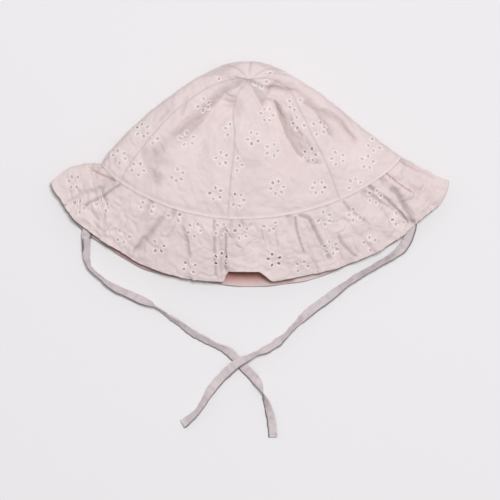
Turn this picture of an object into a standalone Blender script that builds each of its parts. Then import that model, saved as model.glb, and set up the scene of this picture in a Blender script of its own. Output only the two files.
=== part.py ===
"""A baby's sun hat of double cotton, lying on its back as it is put down on a table.

The crown is six gores that meet at its top. The brim is one gathered ring, and two narrow ties are
sewn inside the crown's edge, one at each side. The hat's length runs along Y, with the crown's top
towards +Y and the brim towards -Y. +Z is up from the table, and the origin lies on the table, under
the middle of the hat without its ties. Everything is in metres.
"""

import math

import bmesh
import bpy
import numpy as np

# The crown, as it lies
CROWN_WIDTH = 0.224  # between the two ends of the crown's edge
CROWN_DEPTH = 0.119  # from the crown's outline at the top to the middle of its edge
CROWN_LOFT = 0.038  # how high the front of the crown stands above the table
CROWN_WALL = 0.0012  # cotton and lining together
SEAM_GAP = 0.0003  # between two pieces that are sewn together

# The brim, as it lies
BRIM_SPREAD = 0.3005  # from tip to tip
BRIM_BACK = 0.0515  # from the crown's edge to the brim's edge, in the middle of the back
BRIM_WALL = 0.0012
TIP_RISE = 0.0285  # how far the tips lie above the middle of the crown's edge, along Y
TIP_HEIGHT = 0.0095  # the height of the fold at each tip, above the table
BRIM_EDGE_HEIGHT = 0.0100  # the height of the front brim's edge
LEFT_BULGE = 0.0053  # how far the left-hand fold of the brim bulges towards +Y, half way out
PLEAT_DEPTH = 0.0042  # the deepest fold of the front brim
GATHER_DEPTH = 0.0016  # the waves of the back brim
GATHER_COUNT = 38  # waves round the whole brim
GATHER_CLEAR = 0.66  # the waves stay this share clear of the sides, where the ties pass

# The ties
TIE_WIDTH = 0.008
TIE_WALL = 0.0016  # a strip folded and sewn shut

# Where the crown's edge lies, so that the hat's footprint is centred on the origin
SEAM_Y = (BRIM_BACK - CROWN_DEPTH) / 2

# The crown's rings, from its top to its edge. along is the share of a gore's length. X is in
# shares of half the crown's width, Y in shares of its depth above the middle of its edge, and Z in
# shares of its loft.
RING_COLUMNS = (
    "along", "left_x", "left_y", "right_x", "right_y", "mid_x",
    "front_y", "front_z", "back_y", "back_z", "side_z",
)
RINGS = (
    (0.00, -0.007, 0.885, -0.007, 0.885, -0.007, 0.885, 0.800, 0.885, 0.800, 0.800),
    (0.12, -0.158, 0.915, 0.152, 0.918, -0.010, 0.805, 0.700, 0.985, 0.640, 0.740),
    (0.25, -0.300, 0.905, 0.262, 0.905, -0.025, 0.705, 0.780, 1.003, 0.250, 0.560),
    (0.44, -0.570, 0.755, 0.498, 0.775, -0.045, 0.545, 0.880, 0.745, 0.030, 0.400),
    (0.60, -0.716, 0.645, 0.668, 0.645, -0.055, 0.395, 0.900, 0.535, 0.000, 0.360),
    (0.76, -0.848, 0.525, 0.795, 0.548, -0.062, 0.250, 0.870, 0.330, 0.000, 0.340),
    (0.89, -0.936, 0.435, 0.912, 0.465, -0.066, 0.122, 0.810, 0.175, 0.000, 0.320),
    (1.00, -1.000, 0.345, 1.020, 0.395, -0.068, 0.000, 0.720, 0.030, 0.000, 0.300),
)
FIRST_RING = 0.009  # where the gores' tips stop, just short of the top
FRONT_SWEEP = 1.6  # how fast the edge falls from its ends to its middle
FRONT_ROLL = 0.75  # below 1, the front stands fuller beside the folds at its sides
BACK_ROLL = 0.40  # the smaller, the sooner the back lies flat behind those folds

# The seams between gores, as turns round the crown in degrees. 0 is the right-hand fold, 90 the
# middle of the front, 180 the left-hand fold and 270 the middle of the back.
GORES = (
    ("crown_front_right", 52, 95),
    ("crown_front_left", 95, 150),
    ("crown_side_left", 150, 230),
    ("crown_back_left", 230, 275),
    ("crown_back_right", 275, 322),
    ("crown_side_right", 322, 412),
)

# How far the two seams of the front swing over from their turns, in degrees, along the gores. The
# nearer the top, the more the right-hand one leans to the side and the middle one to the left.
SWING_COLUMNS = ("along", "right", "middle")
SEAM_SWINGS = (
    (0.00, -26.0, 18.0),
    (0.12, -26.0, 18.0),
    (0.25, -24.0, 12.5),
    (0.44, -9.7, 1.6),
    (0.60, -4.8, 0.0),
    (0.76, -3.6, 0.0),
    (0.89, -2.0, 0.0),
    (1.00, 0.0, 0.0),
)
GORE_ROWS = 22
ROW_CROWDING = 1.35  # above 1, a gore's rows crowd towards its tip
FRONT_STEP = 4.3  # degrees between a gore's columns where it lies in front
BACK_STEP = 9.0

# The crown's sunken folds. depth is in shares of the loft. left and right are the widths of a fold's
# two flanks in shares of the crown's depth, as its line runs, and begin and end are the lengths over
# which it fades out. The points are in the rings' X and Y shares.
CREASES = (
    {
        "name": "left_fold", "depth": 0.19, "left": 0.095, "right": 0.28, "begin": 0.20, "end": 0.12,
        "line": ((-0.56, 0.40), (-0.44, 0.52), (-0.34, 0.61), (-0.24, 0.70), (-0.14, 0.77), (-0.07, 0.80)),
    },
    {
        "name": "middle_fold", "depth": 0.20, "left": 0.100, "right": 0.18, "begin": 0.12, "end": 0.18,
        "line": ((0.05, 0.81), (0.12, 0.73), (0.20, 0.62), (0.27, 0.52), (0.35, 0.41), (0.50, 0.33)),
    },
    {
        "name": "right_fold", "depth": 0.15, "left": 0.080, "right": 0.15, "begin": 0.05, "end": 0.16,
        "line": ((0.10, 0.83), (0.27, 0.80), (0.42, 0.68), (0.57, 0.59), (0.68, 0.48), (0.76, 0.42)),
    },
)

# The brim's edge, from the right-hand fold to the left-hand one. It lies beyond the tips, towards -Y,
# by shares of BRIM_BACK + TIP_RISE.
HEM_COLUMNS = ("turn", "front_y", "back_y")
HEM = (
    (0, 0.000, 0.000),
    (15, 0.181, 0.181),
    (30, 0.347, 0.352),
    (45, 0.587, 0.597),
    (60, 0.776, 0.784),
    (75, 0.894, 0.945),
    (90, 0.956, 0.992),
    (105, 0.931, 0.938),
    (120, 0.816, 0.847),
    (135, 0.593, 0.634),
    (150, 0.386, 0.415),
    (165, 0.134, 0.140),
    (180, 0.000, 0.000),
)

# The front brim's pleats. seam and edge are where a pleat's line starts and ends, in turns; it
# starts at the share start of the brim's width. Past the line the cloth lies deeper, by depth in
# shares of PLEAT_DEPTH, and comes up again over the turns in width, to the left if that is above 0.
PLEAT_COLUMNS = ("seam", "edge", "start", "depth", "width")
PLEATS = (
    (24, 22, 0.0, 0.50, -9),
    (40, 33, 0.0, 0.80, 8),
    (55, 50, 0.1, 0.50, 6),
    (64, 62.5, 0.0, 0.80, -7),
    (69.5, 69.5, 0.0, 0.50, 5),
    (77, 76, 0.0, 0.30, -5),
    (98.5, 98, 0.0, 1.00, -5),
    (114, 107, 0.3, 0.45, 7),
    (126, 127, 0.0, 0.70, -9),
    (138, 140, 0.2, 0.35, -7),
    (152, 160, 0.0, 0.60, -8),
)
PLEAT_STEP = 1.6  # turns over which a pleat's edge falls
NOTCH_LOW, NOTCH_HIGH = 83, 98  # the turns between which the front edge is lifted
NOTCH_LIFT = 0.0065
NOTCH_BACK = 0.0085  # how far the lifted edge is drawn back
BRIM_ROWS = 5
BRIM_FRONT_STEP = 1.9
BRIM_BACK_STEP = 3.0
BRIM_FALL = 1.25  # how the front brim curves down to its edge

# The ties' routes, from the crown's edge to the free end. Each point has its place on the table, how
# far its underside is lifted, and how far the strip is rolled, in degrees.
TIE_COLUMNS = ("x", "y", "lift", "roll")
LEFT_TIE = (
    (-0.1050, -0.0010, 0.0052, 0),
    (-0.1095, -0.0095, 0.0048, 0),
    (-0.1140, -0.0185, 0.0045, 2),
    (-0.1185, -0.0280, 0.0041, 4),
    (-0.1220, -0.0365, 0.0038, 6),
    (-0.1235, -0.0430, 0.0034, 10),
    (-0.1243, -0.0520, 0.0008, 30),
    (-0.1241, -0.0614, 0.0000, 50),
    (-0.1219, -0.0695, 0.0000, 70),
    (-0.1127, -0.0783, 0.0000, 70),
    (-0.1041, -0.0850, 0.0000, 52),
    (-0.0937, -0.0899, 0.0000, 42),
    (-0.0836, -0.0946, 0.0000, 32),
    (-0.0760, -0.0978, 0.0000, 58),
    (-0.0704, -0.1008, 0.0000, 95),
    (-0.0623, -0.1072, 0.0000, 115),
    (-0.0519, -0.1140, 0.0000, 128),
    (-0.0443, -0.1196, 0.0000, 138),
    (-0.0357, -0.1244, 0.0000, 135),
    (-0.0253, -0.1296, 0.0000, 128),
    (-0.0167, -0.1340, 0.0000, 150),
    (-0.0110, -0.1393, 0.0000, 165),
    (-0.0053, -0.1457, 0.0000, 168),
    (0.0023, -0.1533, 0.0000, 170),
    (0.0074, -0.1602, 0.0000, 235),
    (0.0106, -0.1672, 0.0000, 285),
    (0.0137, -0.1761, 0.0000, 320),
    (0.0162, -0.1862, 0.0000, 338),
    (0.0175, -0.1989, 0.0000, 342),
)
RIGHT_TIE = (
    (0.1100, 0.0045, 0.0058, 0),
    (0.1140, -0.0050, 0.0052, 0),
    (0.1180, -0.0150, 0.0047, 0),
    (0.1215, -0.0250, 0.0044, -2),
    (0.1233, -0.0340, 0.0041, -2),
    (0.1224, -0.0415, 0.0036, -4),
    (0.1189, -0.0510, 0.0016, -10),
    (0.1131, -0.0581, 0.0004, -30),
    (0.1049, -0.0638, 0.0000, -53),
    (0.0956, -0.0692, 0.0000, -53),
    (0.0885, -0.0733, 0.0000, -62),
    (0.0804, -0.0781, 0.0000, -45),
    (0.0733, -0.0829, 0.0000, -53),
    (0.0652, -0.0891, 0.0000, -36),
    (0.0559, -0.0961, 0.0000, -30),
    (0.0464, -0.1032, 0.0000, -24),
    (0.0383, -0.1102, 0.0000, -45),
    (0.0334, -0.1150, 0.0000, -62),
    (0.0277, -0.1213, 0.0000, -62),
    (0.0205, -0.1277, 0.0000, -36),
    (0.0125, -0.1326, 0.0000, -36),
    (0.0053, -0.1356, 0.0004, -66),
    (-0.0015, -0.1388, 0.0022, -56),
    (-0.0079, -0.1420, 0.0040, -20),
    (-0.0136, -0.1464, 0.0032, -8),
    (-0.0205, -0.1530, 0.0008, -6),
    (-0.0266, -0.1596, 0.0000, -10),
    (-0.0319, -0.1668, 0.0000, -36),
    (-0.0357, -0.1733, 0.0000, -50),
    (-0.0399, -0.1796, 0.0000, -52),
    (-0.0456, -0.1849, 0.0000, -36),
    (-0.0509, -0.1892, 0.0000, -30),
)
TIE_SIDES = 8
TIE_STEP = 0.005  # between a tie's points

COTTON = (0.86, 0.745, 0.735, 1)
COTTON_TIE = (0.80, 0.71, 0.71, 1)


def column(columns, rows, name):
    """One named column of a table."""
    return np.array([row[columns.index(name)] for row in rows], float)


def through(knots, values, at):
    """A smooth curve through a table's rows, with no overshoot between them."""
    step = np.diff(knots)
    slope = np.diff(values) / step
    tangent = np.zeros(len(values))
    tangent[0], tangent[-1] = slope[0], slope[-1]
    same_way = slope[:-1] * slope[1:] > 0
    inner = np.zeros(len(values) - 2)
    inner[same_way] = (
        2 * slope[:-1][same_way] * slope[1:][same_way] / (slope[:-1] + slope[1:])[same_way]
    )
    tangent[1:-1] = inner
    at = np.asarray(at, float)
    first = np.clip(np.searchsorted(knots, at, side="right") - 1, 0, len(step) - 1)
    u = (at - knots[first]) / step[first]
    return (
        values[first] * (1 + 2 * u) * (1 - u) ** 2
        + tangent[first] * step[first] * u * (1 - u) ** 2
        + values[first + 1] * u * u * (3 - 2 * u)
        - tangent[first + 1] * step[first] * u * u * (1 - u)
    )


def ease(share):
    """0 below 0, 1 above 1 and smooth between them."""
    share = np.clip(share, 0, 1)
    return share * share * (3 - 2 * share)


def crease_drop(x, y, crease):
    """How much lower the front lies at a place on the table, in shares of the loft."""
    line = np.array(crease["line"]) * (CROWN_WIDTH / 2, CROWN_DEPTH)
    nearest = np.full(np.shape(x), np.inf)
    side = np.zeros(np.shape(x))
    run = np.zeros(np.shape(x))
    before = 0.0
    for a, b in zip(line[:-1], line[1:]):
        way = b - a
        length = np.hypot(*way)
        share = np.clip(((x - a[0]) * way[0] + (y - a[1]) * way[1]) / length**2, 0, 1)
        off_x, off_y = x - a[0] - share * way[0], y - a[1] - share * way[1]
        distance = np.hypot(off_x, off_y)
        closer = distance < nearest
        nearest = np.where(closer, distance, nearest)
        side = np.where(closer, np.sign(way[0] * off_y - way[1] * off_x), side)
        run = np.where(closer, before + share * length, run)
        before += length
    width = np.where(side > 0, crease["left"], crease["right"]) * CROWN_DEPTH
    begun = ease(run / (crease["begin"] * CROWN_DEPTH))
    ends = begun * ease((before - run) / (crease["end"] * CROWN_DEPTH))
    return crease["depth"] * ends * (1 - ease(nearest / width))


def swung(turn, along):
    """Turns moved over near the top, so that the front's seams run as they lie."""
    alongs = column(SWING_COLUMNS, SEAM_SWINGS, "along")
    seams = np.array([0, GORES[0][1], GORES[0][2], GORES[1][2], 360], float)
    once_round = np.asarray(turn, float) % 360
    moved = np.asarray(turn, float)
    for name, share in (("right", (0, 1, 0, 0, 0)), ("middle", (0, 0, 1, 0, 0))):
        swing = through(alongs, column(SWING_COLUMNS, SEAM_SWINGS, name), along)
        moved = moved + swing * through(seams, np.array(share, float), once_round)
    return moved


def crown_point(turn, along):
    """A point in the middle of the crown's wall. turn is in degrees round the crown."""
    angle = np.radians(swung(turn, along))
    c, s = np.cos(angle), np.sin(angle)
    knots = column(RING_COLUMNS, RINGS, "along")
    ring = {
        name: through(knots, column(RING_COLUMNS, RINGS, name), along)
        for name in RING_COLUMNS[1:]
    }
    x = ring["mid_x"] + np.where(
        c > 0, (ring["right_x"] - ring["mid_x"]) * c, (ring["mid_x"] - ring["left_x"]) * c
    )
    side_y = (ring["left_y"] * (1 - c) + ring["right_y"] * (1 + c)) / 2
    front = s > 0
    sweep = np.abs(s) ** FRONT_SWEEP
    y = side_y + (np.where(front, ring["front_y"], ring["back_y"]) - side_y) * sweep
    roll = np.abs(s) ** np.where(front, FRONT_ROLL, BACK_ROLL)
    z = ring["side_z"] + (np.where(front, ring["front_z"], ring["back_z"]) - ring["side_z"]) * roll
    x, y = x * CROWN_WIDTH / 2, y * CROWN_DEPTH
    z = z - np.max([crease_drop(x, y, crease) for crease in CREASES], axis=0) * ease(s / 0.25)
    return np.stack([x, y + SEAM_Y, np.maximum(z * CROWN_LOFT, CROWN_WALL / 2)], axis=-1)


def pleat_drop(turn, across):
    """How far the front brim's pleats lower it, in shares of PLEAT_DEPTH."""
    drop = np.zeros(np.shape(turn))
    for row in PLEATS:
        pleat = dict(zip(PLEAT_COLUMNS, row))
        line = pleat["seam"] + (pleat["edge"] - pleat["seam"]) * across
        past = (turn - line) * math.copysign(1, pleat["width"])
        width = abs(pleat["width"])
        fall = ease(past / PLEAT_STEP + 0.5)
        rise = 1 - ease((past - PLEAT_STEP / 2) / (width - PLEAT_STEP / 2))
        begins = ease((across - pleat["start"]) / 0.25 + (pleat["start"] == 0))
        drop = drop + pleat["depth"] * fall * rise * begins
    return drop


def brim_point(turn, across):
    """A point in the middle of the brim's wall. across runs from 0 at the crown to 1 at the edge."""
    angle = np.radians(turn)
    c, s = np.cos(angle), np.sin(angle)
    inner = crown_point(turn, np.ones(np.shape(turn)))
    front = s > 0
    notch = ease((turn - NOTCH_LOW) / 5) * ease((NOTCH_HIGH - turn) / 2)
    round_half = np.degrees(np.arccos(np.clip(c, -1, 1)))
    knots = column(HEM_COLUMNS, HEM, "turn")
    reach = np.where(
        front,
        through(knots, column(HEM_COLUMNS, HEM, "front_y"), round_half),
        through(knots, column(HEM_COLUMNS, HEM, "back_y"), round_half),
    )
    edge_x = BRIM_SPREAD / 2 * c
    edge_y = SEAM_Y + TIP_RISE - (BRIM_BACK + TIP_RISE) * reach + NOTCH_BACK * notch
    edge_z = np.where(
        front,
        TIP_HEIGHT + (BRIM_EDGE_HEIGHT - TIP_HEIGHT) * np.abs(s),
        TIP_HEIGHT + (BRIM_WALL / 2 - TIP_HEIGHT) * np.abs(s) ** BACK_ROLL,
    )
    x = inner[..., 0] + (edge_x - inner[..., 0]) * across
    y = inner[..., 1] + (edge_y - inner[..., 1]) * across
    y = y + LEFT_BULGE * ease((-c - 0.80) / 0.20) * 4 * across * (1 - across)
    z = inner[..., 2] + (edge_z - inner[..., 2]) * across ** np.where(front, BRIM_FALL, 1)
    facing = ease(np.abs(s) / 0.35)
    deep = pleat_drop(turn, across) * PLEAT_DEPTH * (0.1 + 0.9 * across)
    clear = ease((np.abs(s) - GATHER_CLEAR) / (1 - GATHER_CLEAR))
    wave = (1 + np.cos(np.radians(turn * GATHER_COUNT))) / 2 * GATHER_DEPTH * across * clear
    z = z + np.where(front, NOTCH_LIFT * notch * across**2 - deep * facing, wave)
    return np.stack([x, y, np.maximum(z, BRIM_WALL / 2)], axis=-1)


def normals(point, turn, along):
    """The outward normal of a surface given by turn and along."""
    step_turn, step_along = 0.05, 0.0005
    by_turn = point(turn + step_turn, along) - point(turn - step_turn, along)
    ahead = np.clip(along + step_along, 2 * step_along, 1)
    by_along = point(turn, ahead) - point(turn, ahead - 2 * step_along)
    normal = np.cross(by_along, by_turn)
    return normal / np.linalg.norm(normal, axis=-1, keepdims=True)


def seam_normals(turn):
    """The normal halfway between the crown's and the brim's where they meet."""
    both = normals(crown_point, turn, np.ones(turn.shape))
    both = both + normals(brim_point, turn, np.zeros(turn.shape))
    return both / np.linalg.norm(both, axis=-1, keepdims=True)


def wall_solid(name, middle, outward, wall, colour, closed=False):
    """A wall over a grid of places in its middle, with its rims filled.

    closed joins the last column to the first one, as in a ring.
    """
    rows, columns = middle.shape[:2]
    bm = bmesh.new()
    skins = []
    for skin in (middle + outward * wall / 2, middle - outward * wall / 2):
        skin[..., 2] = np.maximum(skin[..., 2], 0)
        skins.append([[bm.verts.new(place) for place in row] for row in skin])
    outer, inner = skins
    last = columns if closed else columns - 1
    for i in range(rows - 1):
        for j in range(last):
            k = (j + 1) % columns
            bm.faces.new((outer[i][j], outer[i + 1][j], outer[i + 1][k], outer[i][k]))
            bm.faces.new((inner[i][k], inner[i + 1][k], inner[i + 1][j], inner[i][j]))
    for j in range(last):
        k = (j + 1) % columns
        bm.faces.new((outer[0][k], inner[0][k], inner[0][j], outer[0][j]))
        bm.faces.new((outer[-1][j], inner[-1][j], inner[-1][k], outer[-1][k]))
    if not closed:
        for i in range(rows - 1):
            bm.faces.new((outer[i][0], inner[i][0], inner[i + 1][0], outer[i + 1][0]))
            bm.faces.new((outer[i + 1][-1], inner[i + 1][-1], inner[i][-1], outer[i][-1]))
    return finished(name, bm, colour)


def cotton(name, colour):
    """A piece's own material."""
    material = bpy.data.materials.new(name + "_cotton")
    material.use_nodes = True
    shader = material.node_tree.nodes["Principled BSDF"]
    shader.inputs["Base Color"].default_value = colour
    shader.inputs["Roughness"].default_value = 0.9
    shader.inputs["Metallic"].default_value = 0.0
    return material


def finished(name, bm, colour):
    """The object of a closed bmesh, with its faces out, smooth shading and its own material."""
    bmesh.ops.recalc_face_normals(bm, faces=bm.faces)
    mesh = bpy.data.meshes.new(name)
    bm.to_mesh(mesh)
    bm.free()
    mesh.shade_smooth()
    mesh.set_sharp_from_angle(angle=math.radians(50))
    mesh.materials.append(cotton(name, colour))
    made = bpy.data.objects.new(name, mesh)
    bpy.context.scene.collection.objects.link(made)
    return made


def turns_between(low, high, front_step, back_step):
    """Turns from low to high, closer together where they are in front."""
    middle = (low + high) / 2 % 360
    step = front_step if 0 <= middle <= 180 else back_step
    return np.linspace(low, high, max(2, math.ceil((high - low) / step)) + 1)


def gore(name, low, high):
    """One gore of the crown, from its tip to the crown's edge, clear of its neighbours."""
    parts = [low, *(fold for fold in (180, 360) if low < fold < high), high]
    turns = np.concatenate(
        [turns_between(a, b, FRONT_STEP, BACK_STEP)[:-1] for a, b in zip(parts[:-1], parts[1:])]
        + [[high]]
    )
    gore_length = CROWN_DEPTH + CROWN_LOFT
    last = 1 - SEAM_GAP / 2 / gore_length
    alongs = FIRST_RING + (last - FIRST_RING) * np.linspace(0, 1, GORE_ROWS) ** ROW_CROWDING
    along = np.repeat(alongs[:, None], len(turns), axis=1)
    turn = np.repeat(turns[None, :], GORE_ROWS, axis=0)
    down = np.gradient(crown_point(turn, along), axis=0)
    down /= np.linalg.norm(down, axis=-1, keepdims=True)
    round_it = crown_point(turn + 0.5, along) - crown_point(turn - 0.5, along)
    per_degree = np.linalg.norm(np.cross(round_it, down), axis=-1)
    share = (turn - low) / (high - low)
    turn = turn + SEAM_GAP / 2 * ((1 - share) / per_degree[:, :1] - share / per_degree[:, -1:])
    outward = normals(crown_point, turn, along)
    outward[-1] = seam_normals(turn[-1])
    return wall_solid(name, crown_point(turn, along), outward, CROWN_WALL, COTTON)


def brim():
    """The gathered ring that is sewn to the crown's edge."""
    turns = np.concatenate(
        [
            np.linspace(0, 180, round(180 / BRIM_FRONT_STEP), endpoint=False),
            np.linspace(180, 360, round(180 / BRIM_BACK_STEP), endpoint=False),
        ]
    )
    first = SEAM_GAP / 2 / BRIM_BACK
    acrosses = np.linspace(first, 1, BRIM_ROWS + 1)
    turn = np.repeat(turns[None, :], len(acrosses), axis=0)
    across = np.repeat(acrosses[:, None], len(turns), axis=1)
    outward = normals(brim_point, turn, across)
    outward[0] = seam_normals(turns)
    return wall_solid("brim", brim_point(turn, across), outward, BRIM_WALL, COTTON, closed=True)


def tie_section():
    """The section of a tie, a flat oval. Its points are given along its width and its thickness."""
    angles = -2 * math.pi * np.arange(TIE_SIDES) / TIE_SIDES
    wide = TIE_WIDTH / 2 * np.sign(np.cos(angles)) * np.abs(np.cos(angles)) ** 0.5
    thick = TIE_WALL / 2 * np.sign(np.sin(angles)) * np.abs(np.sin(angles)) ** 0.5
    return wide, thick


def tie_profile():
    """The guide that both ties are swept with."""
    data = bpy.data.curves.new("tie_profile", "CURVE")
    data.dimensions = "2D"
    data.fill_mode = "NONE"
    line = data.splines.new("POLY")
    line.points.add(TIE_SIDES - 1)
    line.use_cyclic_u = True
    for point, wide, thick in zip(line.points, *tie_section()):
        point.co = (wide, thick, 0, 1)
    guide = bpy.data.objects.new("tie_profile", data)
    bpy.context.scene.collection.objects.link(guide)
    guide.hide_render = True
    guide.display_type = "WIRE"
    return guide


def tie(name, route, guide):
    """A flat strip along its route, rolled about its own line and resting on its lower edge."""
    places = np.stack([column(TIE_COLUMNS, route, "x"), column(TIE_COLUMNS, route, "y")], axis=1)
    run = np.concatenate([[0], np.cumsum(np.linalg.norm(np.diff(places, axis=0), axis=1))])
    at = np.linspace(0, run[-1], round(run[-1] / TIE_STEP) + 1)
    x, y, lift, roll = (
        through(run, column(TIE_COLUMNS, route, name), at) for name in TIE_COLUMNS
    )
    wide, thick = tie_section()
    roll = np.radians(roll)
    below = np.outer(np.sin(roll), wide) + np.outer(np.cos(roll), thick)
    data = bpy.data.curves.new(name, "CURVE")
    data.dimensions = "3D"
    data.twist_mode = "Z_UP"
    data.bevel_mode = "OBJECT"
    data.bevel_object = guide
    data.use_fill_caps = True
    line = data.splines.new("POLY")
    line.points.add(len(at) - 1)
    for point, *place, height, angle in zip(line.points, x, y, lift + below.max(axis=1), roll):
        point.co = (*place, height, 1)
        point.tilt = angle
    data.materials.append(cotton(name, COTTON_TIE))
    made = bpy.data.objects.new(name, data)
    bpy.context.scene.collection.objects.link(made)
    return made


for old in list(bpy.data.objects):
    bpy.data.objects.remove(old)
for gore_name, gore_low, gore_high in GORES:
    gore(gore_name, gore_low, gore_high)
brim()
tie_guide = tie_profile()
tie("tie_left", LEFT_TIE, tie_guide)
tie("tie_right", RIGHT_TIE, tie_guide)
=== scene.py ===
"""The looks of a baby's sun hat of crinkled broderie cotton with a plain lining.

The frame's solids give the form. Here every panel of the crown and both halves of the brim are laid
out flat, meshed with their embroidered holes, put back on the form and crumpled.
"""

import math

import bpy
import numpy as np
from bpy.props import FloatProperty, FloatVectorProperty, IntProperty, PointerProperty
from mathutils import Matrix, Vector, noise
from mathutils.geometry import delaunay_2d_cdt


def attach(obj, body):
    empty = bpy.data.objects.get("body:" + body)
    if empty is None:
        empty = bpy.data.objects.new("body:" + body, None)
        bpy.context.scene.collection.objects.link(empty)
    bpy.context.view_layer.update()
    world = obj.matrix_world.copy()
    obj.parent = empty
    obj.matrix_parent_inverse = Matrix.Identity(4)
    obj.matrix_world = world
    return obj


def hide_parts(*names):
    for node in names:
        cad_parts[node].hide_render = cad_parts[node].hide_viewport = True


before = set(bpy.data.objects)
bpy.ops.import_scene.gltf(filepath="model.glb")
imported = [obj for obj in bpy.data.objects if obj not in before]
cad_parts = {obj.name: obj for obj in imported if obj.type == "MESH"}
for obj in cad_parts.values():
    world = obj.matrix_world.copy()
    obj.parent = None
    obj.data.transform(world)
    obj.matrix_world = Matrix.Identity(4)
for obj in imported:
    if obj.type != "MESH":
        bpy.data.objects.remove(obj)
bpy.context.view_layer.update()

bl_info = {
    "name": "Baby sun hat",
    "version": (1, 0, 0),
    "blender": (4, 5, 0),
    "location": "View3D > Sidebar > Sun hat",
    "description": "Makes the cloth, ties and stage of a baby's sun hat around its solids",
    "category": "Add Mesh",
}

# The form, in the same sizes as the solids, in metres
CROWN_WIDTH = 0.224
CROWN_DEPTH = 0.119
CROWN_LOFT = 0.038
BRIM_SPREAD = 0.3005
BRIM_BACK = 0.0515
TIP_RISE = 0.0285
TIP_HEIGHT = 0.0095
BRIM_EDGE_HEIGHT = 0.0100
LEFT_BULGE = 0.0053
PLEAT_DEPTH = 0.0042
GATHER_DEPTH = 0.0016
GATHER_COUNT = 38
GATHER_CLEAR = 0.66
WALL = 0.0012
TIE_WIDTH = 0.008
TIE_WALL = 0.0016
SEAM_Y = (BRIM_BACK - CROWN_DEPTH) / 2

RING_COLUMNS = (
    "along", "left_x", "left_y", "right_x", "right_y", "mid_x",
    "front_y", "front_z", "back_y", "back_z", "side_z",
)
RINGS = (
    (0.00, -0.007, 0.885, -0.007, 0.885, -0.007, 0.885, 0.800, 0.885, 0.800, 0.800),
    (0.12, -0.158, 0.915, 0.152, 0.918, -0.010, 0.805, 0.700, 0.985, 0.640, 0.740),
    (0.25, -0.300, 0.905, 0.262, 0.905, -0.025, 0.705, 0.780, 1.003, 0.250, 0.560),
    (0.44, -0.570, 0.755, 0.498, 0.775, -0.045, 0.545, 0.880, 0.745, 0.030, 0.400),
    (0.60, -0.716, 0.645, 0.668, 0.645, -0.055, 0.395, 0.900, 0.535, 0.000, 0.360),
    (0.76, -0.848, 0.525, 0.795, 0.548, -0.062, 0.250, 0.870, 0.330, 0.000, 0.340),
    (0.89, -0.936, 0.435, 0.912, 0.465, -0.066, 0.122, 0.810, 0.175, 0.000, 0.320),
    (1.00, -1.000, 0.345, 1.020, 0.395, -0.068, 0.000, 0.720, 0.030, 0.000, 0.300),
)
FRONT_SWEEP = 1.6
FRONT_ROLL = 0.75
BACK_ROLL = 0.40

GORES = (
    ("crown_front_right", 52, 95),
    ("crown_front_left", 95, 150),
    ("crown_side_left", 150, 230),
    ("crown_back_left", 230, 275),
    ("crown_back_right", 275, 322),
    ("crown_side_right", 322, 412),
)

# How far the two seams of the front swing over from their turns, in degrees, along the gores
SWING_COLUMNS = ("along", "right", "middle")
SEAM_SWINGS = (
    (0.00, -26.0, 18.0),
    (0.12, -26.0, 18.0),
    (0.25, -24.0, 12.5),
    (0.44, -9.7, 1.6),
    (0.60, -4.8, 0.0),
    (0.76, -3.6, 0.0),
    (0.89, -2.0, 0.0),
    (1.00, 0.0, 0.0),
)

CREASES = (
    {
        "name": "left_fold", "depth": 0.19,
        "left": 0.095, "right": 0.28, "begin": 0.20, "end": 0.12,
        "line": (
            (-0.56, 0.40), (-0.44, 0.52), (-0.34, 0.61), (-0.24, 0.70), (-0.14, 0.77), (-0.07, 0.80)
        ),
    },
    {
        "name": "middle_fold", "depth": 0.20,
        "left": 0.100, "right": 0.18, "begin": 0.12, "end": 0.18,
        "line": (
            (0.05, 0.81), (0.12, 0.73), (0.20, 0.62), (0.27, 0.52), (0.35, 0.41), (0.50, 0.33)
        ),
    },
    {
        "name": "right_fold", "depth": 0.15,
        "left": 0.080, "right": 0.15, "begin": 0.05, "end": 0.16,
        "line": (
            (0.10, 0.83), (0.27, 0.80), (0.42, 0.68), (0.57, 0.59), (0.68, 0.48), (0.76, 0.42)
        ),
    },
)

HEM_COLUMNS = ("turn", "front_y", "back_y")
HEM = (
    (0, 0.000, 0.000),
    (15, 0.181, 0.181),
    (30, 0.347, 0.352),
    (45, 0.587, 0.597),
    (60, 0.776, 0.784),
    (75, 0.894, 0.945),
    (90, 0.956, 0.992),
    (105, 0.931, 0.938),
    (120, 0.816, 0.847),
    (135, 0.593, 0.634),
    (150, 0.386, 0.415),
    (165, 0.134, 0.140),
    (180, 0.000, 0.000),
)

PLEAT_COLUMNS = ("seam", "edge", "start", "depth", "width")
PLEATS = (
    (24, 22, 0.0, 0.50, -9),
    (40, 33, 0.0, 0.80, 8),
    (55, 50, 0.1, 0.50, 6),
    (64, 62.5, 0.0, 0.80, -7),
    (69.5, 69.5, 0.0, 0.50, 5),
    (77, 76, 0.0, 0.30, -5),
    (98.5, 98, 0.0, 1.00, -5),
    (114, 107, 0.3, 0.45, 7),
    (126, 127, 0.0, 0.70, -9),
    (138, 140, 0.2, 0.35, -7),
    (152, 160, 0.0, 0.60, -8),
)
PLEAT_STEP = 1.6
NOTCH_LOW, NOTCH_HIGH = 83, 98
NOTCH_LIFT = 0.0065
NOTCH_BACK = 0.0085
BRIM_FALL = 1.25

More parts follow.
